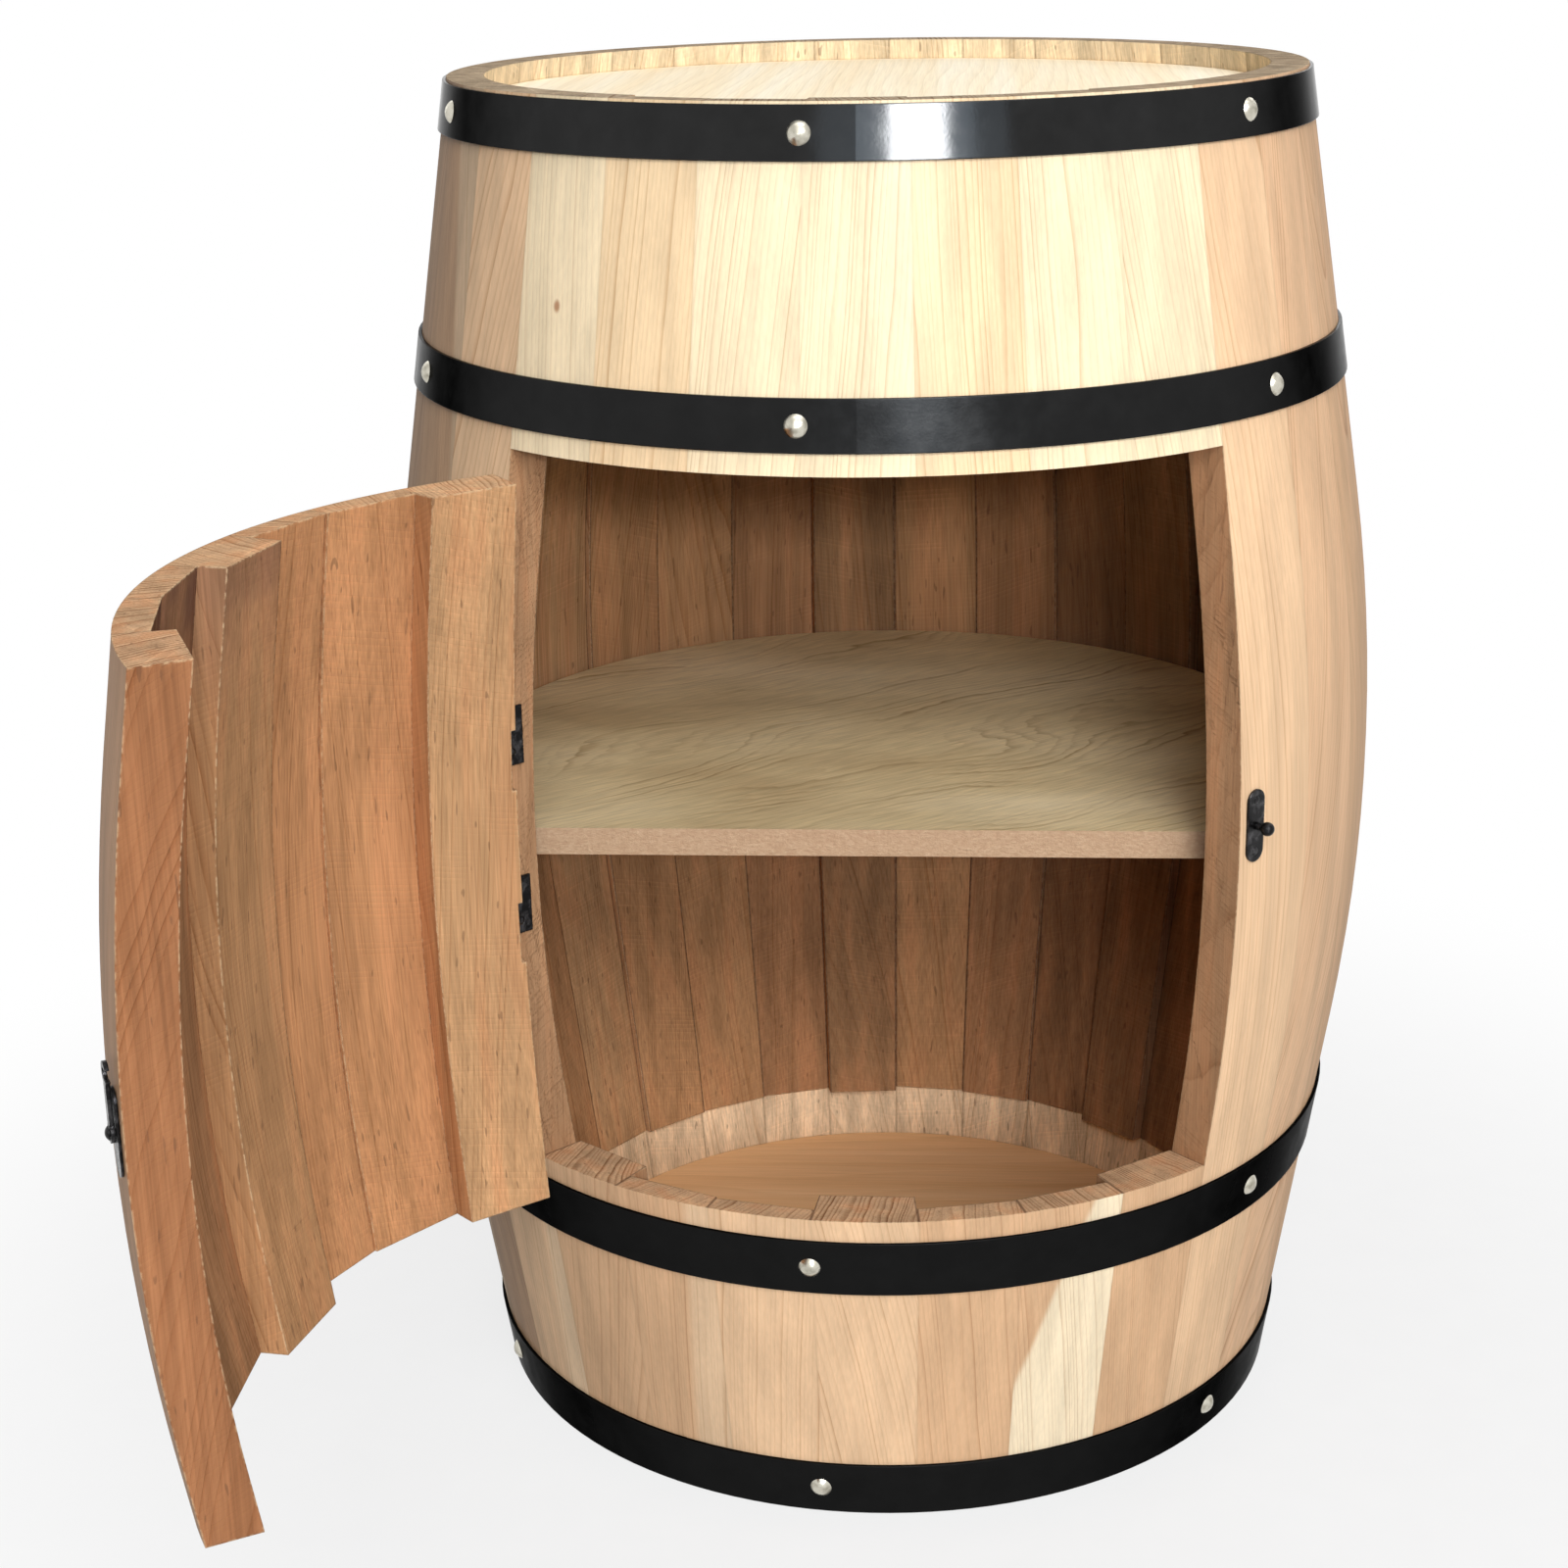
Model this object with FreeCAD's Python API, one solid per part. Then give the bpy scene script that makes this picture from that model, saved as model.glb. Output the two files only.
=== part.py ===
import FreeCAD, Part
import math
import os

# Barrel bar cabinet: turned staves in hoops, two heads, a shelf, and a curved door sawn out of the front.
# Millimetres, +Z up. The origin is the middle of the foot circle and the door opening faces -Y.
# Angles round the barrel start at the front and grow towards +X.

# Barrel outline
HEIGHT = 600.0
BELLY_RADIUS = 220.5
END_RADIUS = 183.5
BEND_HALF_HEIGHT = 120.5

# Staves
STAVE_COUNT = 29
DOOR_STAVE_COUNT = 7
STAVE_THICKNESS = 20.0
FRONT_THICKNESS_SHARES = [1.12, 0.58, 0.52, 1.18, 0.64, 0.66, 1.05]
SIDE_THICKNESS_SHARES = [1.00, 0.92, 0.96, 1.05, 0.88, 0.98, 0.92, 1.18, 0.90, 1.00, 0.94,
                         1.20, 0.90, 0.96, 1.02, 0.88, 0.94, 1.06, 0.90, 0.98, 1.08, 1.00]

# Door opening, sawn through the front staves
OPENING_ABOVE_FOOT = 153.5
OPENING_BELOW_TOP = 136.0
SAW_KERF = 3.5
DOOR_REST_ANGLE = 103.3

# Heads, in a groove within a turned rebate at each end
HEAD_THICKNESS = 9.0
TOP_RECESS = 9.0
FOOT_RECESS = 3.0
HEAD_CLEARANCE = 0.3
REBATE_HEIGHT = 39.0
REBATE_WALL = 16.0
GROOVE_DEPTH = 7.0

# Shelf and the cleats under it
SHELF_TOP = 294.0
SHELF_THICKNESS = 12.0
SHELF_FRONT = 121.0
SHELF_CLEARANCE = 0.9
CLEAT_WIDTH = 36.0
CLEAT_HEIGHT = 15.0
CLEAT_DEPTH = 12.0
CLEAT_STAVES = [8, 14, 21]

# Hoops and rivets
HIGH_HOOP_WIDTH = 20.3
LOW_HOOP_WIDTH = 25.7
HOOP_THICKNESS = 1.5
HOOP_CLEARANCE = 0.1
END_HOOP_INSET = 1.0
UPPER_HOOP_BELOW_TOP = 117.0
LOWER_HOOP_ABOVE_FOOT = 130.5
RIVET_COUNT = 6
RIVET_FIRST_ANGLE = -6.5
RIVET_HEAD_RADIUS = 4.6
RIVET_HEAD_HEIGHT = 2.4
RIVET_SHANK_RADIUS = 1.5
RIVET_SHANK_LENGTH = 9.0

# Hinges
HINGE_SPACING = 74.0
HINGE_HEIGHT = 25.0
KNUCKLE_COUNT = 3
LEAF_REACH = 17.0
LEAF_THICKNESS = 1.2
MORTISE_DEPTH = 2.0
KNUCKLE_STANDOFF = 0.35
KNUCKLE_GAP = 0.3
PIN_RADIUS = 1.2
PIN_HEAD_RADIUS = 1.9
PIN_HEAD_HEIGHT = 1.0
RUNNING_CLEARANCE = 0.05

# Latch
LATCH_EDGE_DISTANCE = 8.4
PLATE_WIDTH = 10.0
PLATE_HEIGHT = 31.0
PLATE_THICKNESS = 1.0
ARM_THICKNESS = 1.5
ARM_WIDTH = 4.2
ARM_BOSS_RADIUS = 3.4
ARM_LIFT = 0.2
HOOK_WALL = 2.0
HOOK_CLEARANCE = 0.5
PIVOT_RADIUS = 1.2
PIVOT_HEAD_RADIUS = 2.5
PIVOT_HEAD_HEIGHT = 1.3
STUD_NECK_RADIUS = 1.5
STUD_NECK_HEIGHT = 4.4
STUD_BALL_RADIUS = 2.9
STUD_ROOT_LENGTH = 8.0

# Countersunk screws of the hinges and latch plates
SCREW_RADIUS = 0.9
SCREW_HEAD_RADIUS = 1.8
SCREW_HEAD_HEIGHT = 0.8
SCREW_LENGTH = 8.0
SCREW_SPACING = 14.0
PLATE_SCREW_SPACING = 22.0

# Room that a hole leaves round a shank, and how far cuts run past a face
HOLE_CLEARANCE = 0.1
OVERRUN = 5.0

# Worked out from the sizes above
MIDDLE = HEIGHT / 2
STAVE_ANGLE = 360.0 / STAVE_COUNT
OPENING_HALF_ANGLE = STAVE_ANGLE * DOOR_STAVE_COUNT / 2
OPENING_TOP = HEIGHT - OPENING_BELOW_TOP
OPENING_MIDDLE = (OPENING_ABOVE_FOOT + OPENING_TOP) / 2
DOOR_BOTTOM = OPENING_ABOVE_FOOT + SAW_KERF
DOOR_TOP = OPENING_TOP - SAW_KERF
THICKEST = STAVE_THICKNESS * max(FRONT_THICKNESS_SHARES + SIDE_THICKNESS_SHARES)
KNUCKLE_RADIUS = (SAW_KERF + MORTISE_DEPTH) / 2
HINGE_AXIS_RADIUS = BELLY_RADIUS + KNUCKLE_STANDOFF + KNUCKLE_RADIUS
ARM_LOW = PLATE_THICKNESS + ARM_LIFT
ARM_HIGH = ARM_LOW + ARM_THICKNESS
HOOK_INNER_RADIUS = STUD_NECK_RADIUS + HOOK_CLEARANCE
HOOK_OUTER_RADIUS = HOOK_INNER_RADIUS + HOOK_WALL
SLOPE_STEPS = 40

Z_AXIS = FreeCAD.Vector(0, 0, 1)
X_AXIS = FreeCAD.Vector(1, 0, 0)
OUTWARD = FreeCAD.Vector(0, -1, 0)
ORIGIN = FreeCAD.Vector(0, 0, 0)


def end_slope():
    """Angle of the straight ends: they leave the belly's arc as tangents and reach the end radius."""
    drop = BELLY_RADIUS - END_RADIUS
    straight = MIDDLE - BEND_HALF_HEIGHT
    half_tangent = 0.0
    for _ in range(SLOPE_STEPS):
        half_tangent = drop / (BEND_HALF_HEIGHT + 2 * straight / (1 - half_tangent ** 2))
    return 2 * math.atan(half_tangent)


SLOPE = end_slope()
BEND_RADIUS = BEND_HALF_HEIGHT / math.sin(SLOPE)


def outer_radius(z):
    """Radius of the turned outside at a height."""
    away = abs(z - MIDDLE)
    if away <= BEND_HALF_HEIGHT:
        return BELLY_RADIUS - BEND_RADIUS + math.sqrt(BEND_RADIUS ** 2 - away ** 2)
    return END_RADIUS + (MIDDLE - away) * math.tan(SLOPE)


def at(radius, z):
    """Point of the front section plane."""
    return FreeCAD.Vector(0, -radius, z)


def turned(shape, angle):
    """Copy of a shape, turned round the barrel from the front to an angle."""
    copy = shape.copy()
    copy.rotate(ORIGIN, Z_AXIS, angle)
    return copy


def line(start, end):
    return Part.LineSegment(start, end).toShape()


def chain(points):
    return [line(a, b) for a, b in zip(points, points[1:])]


def wall_curve(inset, low, high):
    """Line, arc and line that follow the outside, moved in by an inset, between two heights."""
    bend_low = MIDDLE - BEND_HALF_HEIGHT
    bend_high = MIDDLE + BEND_HALF_HEIGHT
    bend_radius = outer_radius(bend_low) - inset
    arc = Part.Arc(at(bend_radius, bend_low), at(BELLY_RADIUS - inset, MIDDLE), at(bend_radius, bend_high))
    return [line(at(outer_radius(low) - inset, low), at(bend_radius, bend_low)),
            arc.toShape(),
            line(at(bend_radius, bend_high), at(outer_radius(high) - inset, high))]


def box(x_low, x_high, y_low, y_high, z_low, z_high):
    corner = FreeCAD.Vector(x_low, y_low, z_low)
    return Part.makeBox(x_high - x_low, y_high - y_low, z_high - z_low, corner)


def outward_cylinder(radius, start, end):
    """Cylinder along the outward direction, from one height over the surface to another."""
    return Part.makeCylinder(radius, end - start, OUTWARD * start, OUTWARD)


def dome(radius, height):
    """Round head that stands outward on the surface."""
    sphere_radius = (radius ** 2 + height ** 2) / (2 * height)
    edge = FreeCAD.Vector(radius, 0, 0)
    top = OUTWARD * height
    half_angle = math.asin(min(1.0, radius / sphere_radius)) / 2
    centre_depth = sphere_radius - height
    towards_middle = FreeCAD.Vector(math.sin(half_angle), -math.cos(half_angle), 0)
    middle = towards_middle * sphere_radius - OUTWARD * centre_depth
    wire = Part.Wire([line(ORIGIN, edge), Part.Arc(edge, middle, top).toShape(), line(top, ORIGIN)])
    return Part.Face(wire).revolve(ORIGIN, OUTWARD, 360)


def screw(length, extra=0.0):
    """Countersunk screw with its flat head at the origin; extra grows it into the hole for it."""
    radius = SCREW_RADIUS + extra
    cone = Part.makeCone(SCREW_HEAD_RADIUS + extra, radius, SCREW_HEAD_HEIGHT, ORIGIN, OUTWARD * -1)
    shank = outward_cylinder(radius, -length - extra, -SCREW_HEAD_HEIGHT)
    return cone.fuse(shank).removeSplitter()


def groove_radius(recess):
    """Radius of a groove's floor, level with the middle of a head that lies a recess in from the end."""
    return outer_radius(recess + HEAD_THICKNESS / 2) - REBATE_WALL + GROOVE_DEPTH


def rebate_points(recess):
    """Radius and depth pairs of the turned inside near an end, from the end in to the full wall."""
    head_low = recess
    head_high = recess + HEAD_THICKNESS
    floor = groove_radius(recess)
    inner = THICKEST + OVERRUN
    return [(outer_radius(0) - REBATE_WALL, 0),
            (outer_radius(head_low) - REBATE_WALL, head_low),
            (floor, head_low),
            (floor, head_high),
            (outer_radius(head_high) - REBATE_WALL, head_high),
            (outer_radius(REBATE_HEIGHT) - REBATE_WALL, REBATE_HEIGHT),
            (outer_radius(REBATE_HEIGHT) - inner, REBATE_HEIGHT)]


def stave_blank():
    """One stave's sector of the turned barrel wall, thicker than any stave on the inside."""
    low_points = [at(radius, depth) for radius, depth in rebate_points(FOOT_RECESS)]
    high_points = [at(radius, HEIGHT - depth) for radius, depth in reversed(rebate_points(TOP_RECESS))]
    edges = wall_curve(0, 0, HEIGHT)
    edges += [line(low_points[0], at(outer_radius(0), 0))]
    edges += chain(low_points)
    edges += wall_curve(THICKEST + OVERRUN, REBATE_HEIGHT, HEIGHT - REBATE_HEIGHT)
    edges += chain(high_points)
    edges += [line(high_points[-1], at(outer_radius(HEIGHT), HEIGHT))]
    face = Part.Face(Part.Wire(Part.__sortEdges__(edges)))
    return turned(face.revolve(ORIGIN, Z_AXIS, STAVE_ANGLE), -STAVE_ANGLE / 2)


def inner_waste(thickness):
    """What is planed off inside a stave to leave a flat inner face across its width."""
    edges = wall_curve(thickness, 0, HEIGHT)
    edges += chain([at(outer_radius(0) - thickness, 0), at(0, 0), at(0, HEIGHT),
                    at(outer_radius(HEIGHT) - thickness, HEIGHT)])
    half_width = BELLY_RADIUS * math.tan(math.radians(STAVE_ANGLE / 2)) + OVERRUN
    face = Part.Face(Part.Wire(Part.__sortEdges__(edges)))
    face.translate(X_AXIS * -half_width)
    return face.extrude(X_AXIS * (2 * half_width))


def stave(blank, number, thickness):
    """Stave by its number round the barrel, counted from the front towards +X."""
    return turned(blank.cut(inner_waste(thickness)), number * STAVE_ANGLE)


def hoop_bands():
    """Middle height and width of each hoop by its name."""
    top_middle = HEIGHT - END_HOOP_INSET - HIGH_HOOP_WIDTH / 2
    bottom_middle = END_HOOP_INSET + LOW_HOOP_WIDTH / 2
    return {"top_hoop": (top_middle, HIGH_HOOP_WIDTH),
            "upper_hoop": (HEIGHT - UPPER_HOOP_BELOW_TOP, HIGH_HOOP_WIDTH),
            "lower_hoop": (LOWER_HOOP_ABOVE_FOOT, LOW_HOOP_WIDTH),
            "bottom_hoop": (bottom_middle, LOW_HOOP_WIDTH)}


def hoop(middle, width):
    """Flat steel band that lies on the outside."""
    low = middle - width / 2
    high = middle + width / 2
    inner = HOOP_CLEARANCE
    outer = HOOP_CLEARANCE + HOOP_THICKNESS
    points = [at(outer_radius(low) + inner, low), at(outer_radius(low) + outer, low),
              at(outer_radius(high) + outer, high), at(outer_radius(high) + inner, high)]
    face = Part.Face(Part.makePolygon(points + points[:1]))
    return face.revolve(ORIGIN, Z_AXIS, 360)


def on_hoop(shape, middle, angle):
    """Copy of a rivet-like shape, set square on a hoop at an angle round the barrel."""
    copy = shape.copy()
    tilt = math.degrees(SLOPE) if middle < MIDDLE else -math.degrees(SLOPE)
    copy.rotate(ORIGIN, X_AXIS, tilt)
    copy.translate(at(outer_radius(middle) + HOOP_CLEARANCE + HOOP_THICKNESS, middle))
    return turned(copy, angle)


def rivet_places():
    """Hoop height and angle of every rivet."""
    step = 360.0 / RIVET_COUNT
    return [(middle, RIVET_FIRST_ANGLE + step * number)
            for middle, _ in hoop_bands().values() for number in range(RIVET_COUNT)]


def rivets():
    shank = outward_cylinder(RIVET_SHANK_RADIUS, -RIVET_SHANK_LENGTH, 0)
    rivet = dome(RIVET_HEAD_RADIUS, RIVET_HEAD_HEIGHT).fuse(shank)
    return [on_hoop(rivet, middle, angle) for middle, angle in rivet_places()]


def rivet_holes():
    """Hole for each rivet, with the angle that it lies at."""
    radius = RIVET_SHANK_RADIUS + HOLE_CLEARANCE
    hole = outward_cylinder(radius, -RIVET_SHANK_LENGTH - HOLE_CLEARANCE, OVERRUN)
    return [(on_hoop(hole, middle, angle), angle) for middle, angle in rivet_places()]


def holes_near(holes, angle):
    """The holes that can reach a stave whose middle lies at an angle."""
    reach = STAVE_ANGLE
    return [hole for hole, place in holes if abs((place - angle + 180) % 360 - 180) < reach]


def head(recess, low):
    """Round board that fits the groove of an end, with its lower face at a height."""
    return Part.makeCylinder(groove_radius(recess) - HEAD_CLEARANCE, HEAD_THICKNESS, Z_AXIS * low)


def shelf():
    """Round board with a straight front edge."""
    low = SHELF_TOP - SHELF_THICKNESS
    radius = outer_radius(low) - THICKEST - SHELF_CLEARANCE
    board = Part.makeCylinder(radius, SHELF_THICKNESS, Z_AXIS * low)
    reach = BELLY_RADIUS
    return board.cut(box(-reach, reach, -reach, -SHELF_FRONT, low - OVERRUN, SHELF_TOP + OVERRUN))


def cleats(thickness_of):
    """Blocks under the shelf, each on the flat inner face of one stave."""
    high = SHELF_TOP - SHELF_THICKNESS
    low = high - CLEAT_HEIGHT
    blocks = []
    for number in CLEAT_STAVES:
        back = outer_radius(low) - thickness_of[number]
        block = box(-CLEAT_WIDTH / 2, CLEAT_WIDTH / 2, -back, CLEAT_DEPTH - back, low, high)
        blocks.append(turned(block, number * STAVE_ANGLE))
    return blocks


def hinge_heights():
    return {"upper": OPENING_MIDDLE + HINGE_SPACING / 2, "lower": OPENING_MIDDLE - HINGE_SPACING / 2}


def hinge_axis():
    """A point of the hinge line, on the floor plane."""
    point = FreeCAD.Vector(KNUCKLE_RADIUS, -HINGE_AXIS_RADIUS, 0)
    return FreeCAD.Rotation(Z_AXIS, -OPENING_HALF_ANGLE).multVec(point)


def knuckle_spans():
    """Low and high ends of the hinge's knuckles, about its middle."""
    step = HINGE_HEIGHT / KNUCKLE_COUNT
    edges = [-HINGE_HEIGHT / 2 + step * number for number in range(KNUCKLE_COUNT + 1)]
    return [(low + KNUCKLE_GAP / 2, high - KNUCKLE_GAP / 2) for low, high in zip(edges, edges[1:])]


def hinge_leaf(leaf_x, own, other):
    """Leaf whose plate starts at leaf_x, with its own knuckles and room for the other leaf's."""
    centre = FreeCAD.Vector(KNUCKLE_RADIUS, -HINGE_AXIS_RADIUS, 0)
    half = HINGE_HEIGHT / 2
    inner = LEAF_REACH - HINGE_AXIS_RADIUS
    leaf = box(leaf_x, leaf_x + LEAF_THICKNESS, -HINGE_AXIS_RADIUS, inner, -half, half)
    for low, high in other:
        room = Part.makeCylinder(KNUCKLE_RADIUS + KNUCKLE_GAP, high - low + 2 * KNUCKLE_GAP,
                                 centre + Z_AXIS * (low - KNUCKLE_GAP))
        leaf = leaf.cut(room)
    for low, high in own:
        leaf = leaf.fuse(Part.makeCylinder(KNUCKLE_RADIUS, high - low, centre + Z_AXIS * low))
    bore_radius = PIN_RADIUS + RUNNING_CLEARANCE
    bore = Part.makeCylinder(bore_radius, HINGE_HEIGHT + 2 * OVERRUN, centre - Z_AXIS * (half + OVERRUN))
    return leaf.cut(bore).removeSplitter()


def hinge_pin():
    """Pin with a small head at both ends."""
    centre = FreeCAD.Vector(KNUCKLE_RADIUS, -HINGE_AXIS_RADIUS, 0)
    half = HINGE_HEIGHT / 2
    pin = Part.makeCylinder(PIN_RADIUS, 2 * half, centre - Z_AXIS * half)
    for low in (half, -half - PIN_HEAD_HEIGHT):
        pin = pin.fuse(Part.makeCylinder(PIN_HEAD_RADIUS, PIN_HEAD_HEIGHT, centre + Z_AXIS * low))
    return pin.removeSplitter()


def leaf_screw_places(leaf_face, towards_frame):
    """Places of a leaf's screws: turn about Z and position, about the hinge's middle."""
    depth = LEAF_REACH / 2 + KNUCKLE_RADIUS - HINGE_AXIS_RADIUS
    turn = 90 if towards_frame else -90
    return [(turn, FreeCAD.Vector(leaf_face, depth, side * SCREW_SPACING / 2)) for side in (-1, 1)]


def placed(shape, turn, position):
    copy = shape.copy()
    copy.rotate(ORIGIN, Z_AXIS, turn)
    copy.translate(position)
    return copy


def hinge_set(height):
    """Pieces and cuts of one hinge, in place on the closed door."""
    spans = knuckle_spans()
    frame_spans = spans[::2]
    door_spans = spans[1::2]
    door_leaf_x = SAW_KERF + MORTISE_DEPTH - LEAF_THICKNESS
    frame_places = leaf_screw_places(LEAF_THICKNESS, True)
    door_places = leaf_screw_places(door_leaf_x, False)
    hole = screw(SCREW_LENGTH, HOLE_CLEARANCE)
    frame_holes = Part.Compound([placed(hole, turn, position) for turn, position in frame_places])
    door_holes = Part.Compound([placed(hole, turn, position) for turn, position in door_places])
    half = HINGE_HEIGHT / 2 + KNUCKLE_GAP
    inner = THICKEST + OVERRUN - BELLY_RADIUS
    mortise = box(0, SAW_KERF + MORTISE_DEPTH, -HINGE_AXIS_RADIUS, inner, -half, half)
    pieces = {
        "frame_leaf": hinge_leaf(0, frame_spans, door_spans).cut(frame_holes),
        "door_leaf": hinge_leaf(door_leaf_x, door_spans, frame_spans).cut(door_holes),
        "pin": hinge_pin(),
        "frame_screws": Part.Compound([placed(screw(SCREW_LENGTH), *place) for place in frame_places]),
        "door_screws": Part.Compound([placed(screw(SCREW_LENGTH), *place) for place in door_places]),
        "frame_cut": frame_holes,
        "door_cut": mortise.fuse(door_holes),
    }
    for shape in pieces.values():
        shape.translate(Z_AXIS * height)
    return {name: turned(shape, -OPENING_HALF_ANGLE) for name, shape in pieces.items()}


def latch_radius():
    """Radius of the fullest place behind the latch plates, which they lie on."""
    half = PLATE_HEIGHT / 2
    fullest = min(max(MIDDLE, OPENING_MIDDLE - half), OPENING_MIDDLE + half)
    return outer_radius(fullest)


def latch_angles():
    """Angles of the door plate and of the catch plate, either side of the door's free edge."""
    per_length = math.degrees(1 / latch_radius())
    door = OPENING_HALF_ANGLE - (LATCH_EDGE_DISTANCE + SAW_KERF) * per_length
    frame = OPENING_HALF_ANGLE + LATCH_EDGE_DISTANCE * per_length
    return door, frame


def on_latch(shape, angle):
    """Copy of a latch piece, moved from the origin to the surface at an angle."""
    copy = shape.copy()
    copy.translate(at(latch_radius(), OPENING_MIDDLE))
    return turned(copy, angle)


def pill_plate():
    """Upright plate with round ends, holed for its two screws."""
    radius = PLATE_WIDTH / 2
    straight = PLATE_HEIGHT / 2 - radius
    plate = box(-radius, radius, -PLATE_THICKNESS, 0, -straight, straight)
    for side in (-1, 1):
        end = outward_cylinder(radius, 0, PLATE_THICKNESS)
        end.translate(Z_AXIS * (side * straight))
        plate = plate.fuse(end)
    return plate.removeSplitter()


def plate_screws(extra=0.0):
    """The two screws of a latch plate, or their holes."""
    shapes = []
    for side in (-1, 1):
        shape = screw(SCREW_LENGTH, extra)
        shape.translate(OUTWARD * PLATE_THICKNESS + Z_AXIS * (side * PLATE_SCREW_SPACING / 2))
        shapes.append(shape)
    return shapes


def arm_reach():
    """Distance from the pivot to the stud, measured along the arm."""
    door, frame = latch_angles()
    middle = latch_radius() + (ARM_LOW + ARM_HIGH) / 2
    return middle * math.tan(math.radians(frame - door))


def latch_arm():
    """Flat arm that points up, with a hook that opens towards the door's free edge."""
    reach = arm_reach()
    hook_centre = Z_AXIS * reach
    strap = box(-ARM_WIDTH / 2, ARM_WIDTH / 2, -ARM_HIGH, -ARM_LOW, 0, reach)
    boss = outward_cylinder(ARM_BOSS_RADIUS, ARM_LOW, ARM_HIGH)
    ring = outward_cylinder(HOOK_OUTER_RADIUS, ARM_LOW, ARM_HIGH)
    ring.translate(hook_centre)
    eye = outward_cylinder(HOOK_INNER_RADIUS, 0, ARM_HIGH + OVERRUN)
    eye.translate(hook_centre)
    mouth = box(0, HOOK_OUTER_RADIUS + OVERRUN, -ARM_HIGH - OVERRUN, 0,
                reach - HOOK_INNER_RADIUS, reach + HOOK_INNER_RADIUS)
    bore = outward_cylinder(PIVOT_RADIUS + RUNNING_CLEARANCE, 0, ARM_HIGH + OVERRUN)
    return strap.fuse([boss, ring]).cut([eye, mouth, bore]).removeSplitter()


def pivot_rivet():
    """Rivet that the arm turns on, rooted in the door."""
    top = ARM_HIGH + ARM_LIFT
    cap = dome(PIVOT_HEAD_RADIUS, PIVOT_HEAD_HEIGHT)
    cap.translate(OUTWARD * top)
    return outward_cylinder(PIVOT_RADIUS, -STUD_ROOT_LENGTH, top).fuse(cap)


def catch_stud():
    """Ball-headed stud that the hook closes round, rooted in the frame."""
    ball_middle = STUD_NECK_HEIGHT + math.sqrt(STUD_BALL_RADIUS ** 2 - STUD_NECK_RADIUS ** 2)
    ball = Part.makeSphere(STUD_BALL_RADIUS, OUTWARD * ball_middle)
    return outward_cylinder(STUD_NECK_RADIUS, -STUD_ROOT_LENGTH, ball_middle).fuse(ball).removeSplitter()


def root_hole(radius):
    return outward_cylinder(radius + HOLE_CLEARANCE, -STUD_ROOT_LENGTH - HOLE_CLEARANCE, OVERRUN)


def latch_set():
    """Pieces and cuts of the latch, in place on the closed door."""
    door, frame = latch_angles()
    screw_holes = plate_screws(HOLE_CLEARANCE)
    door_cut = Part.Compound(screw_holes + [root_hole(PIVOT_RADIUS)])
    frame_cut = Part.Compound(screw_holes + [root_hole(STUD_NECK_RADIUS)])
    screws = Part.Compound(plate_screws())
    return {
        "latch_door_plate": on_latch(pill_plate().cut(door_cut), door),
        "latch_door_screws": on_latch(screws, door),
        "latch_pivot_rivet": on_latch(pivot_rivet(), door),
        "latch_arm": on_latch(latch_arm(), door),
        "catch_plate": on_latch(pill_plate().cut(frame_cut), frame),
        "catch_screws": on_latch(screws, frame),
        "catch_stud": on_latch(catch_stud(), frame),
        "door_cut": on_latch(door_cut, door),
        "frame_cut": on_latch(frame_cut, frame),
    }


def stave_thicknesses():
    """Thickness of every stave by its number: the front staves are centred on number 0."""
    half = DOOR_STAVE_COUNT // 2
    table = {}
    for place, share in enumerate(FRONT_THICKNESS_SHARES):
        table[place - half] = STAVE_THICKNESS * share
    for place, share in enumerate(SIDE_THICKNESS_SHARES):
        table[half + 1 + place] = STAVE_THICKNESS * share
    return table


def slab(low, high):
    """Block that takes in everything between two heights."""
    reach = BELLY_RADIUS + OVERRUN
    return box(-reach, reach, -reach, reach, low, high)


def door_envelope():
    """Space inside the opening, less the saw kerf on every edge."""
    reach = BELLY_RADIUS + OVERRUN
    space = slab(DOOR_BOTTOM, DOOR_TOP)
    right_waste = turned(box(-SAW_KERF, reach, -reach, 0, 0, HEIGHT), OPENING_HALF_ANGLE)
    left_waste = turned(box(-reach, SAW_KERF, -reach, 0, 0, HEIGHT), -OPENING_HALF_ANGLE)
    return space.cut([right_waste, left_waste])


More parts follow.
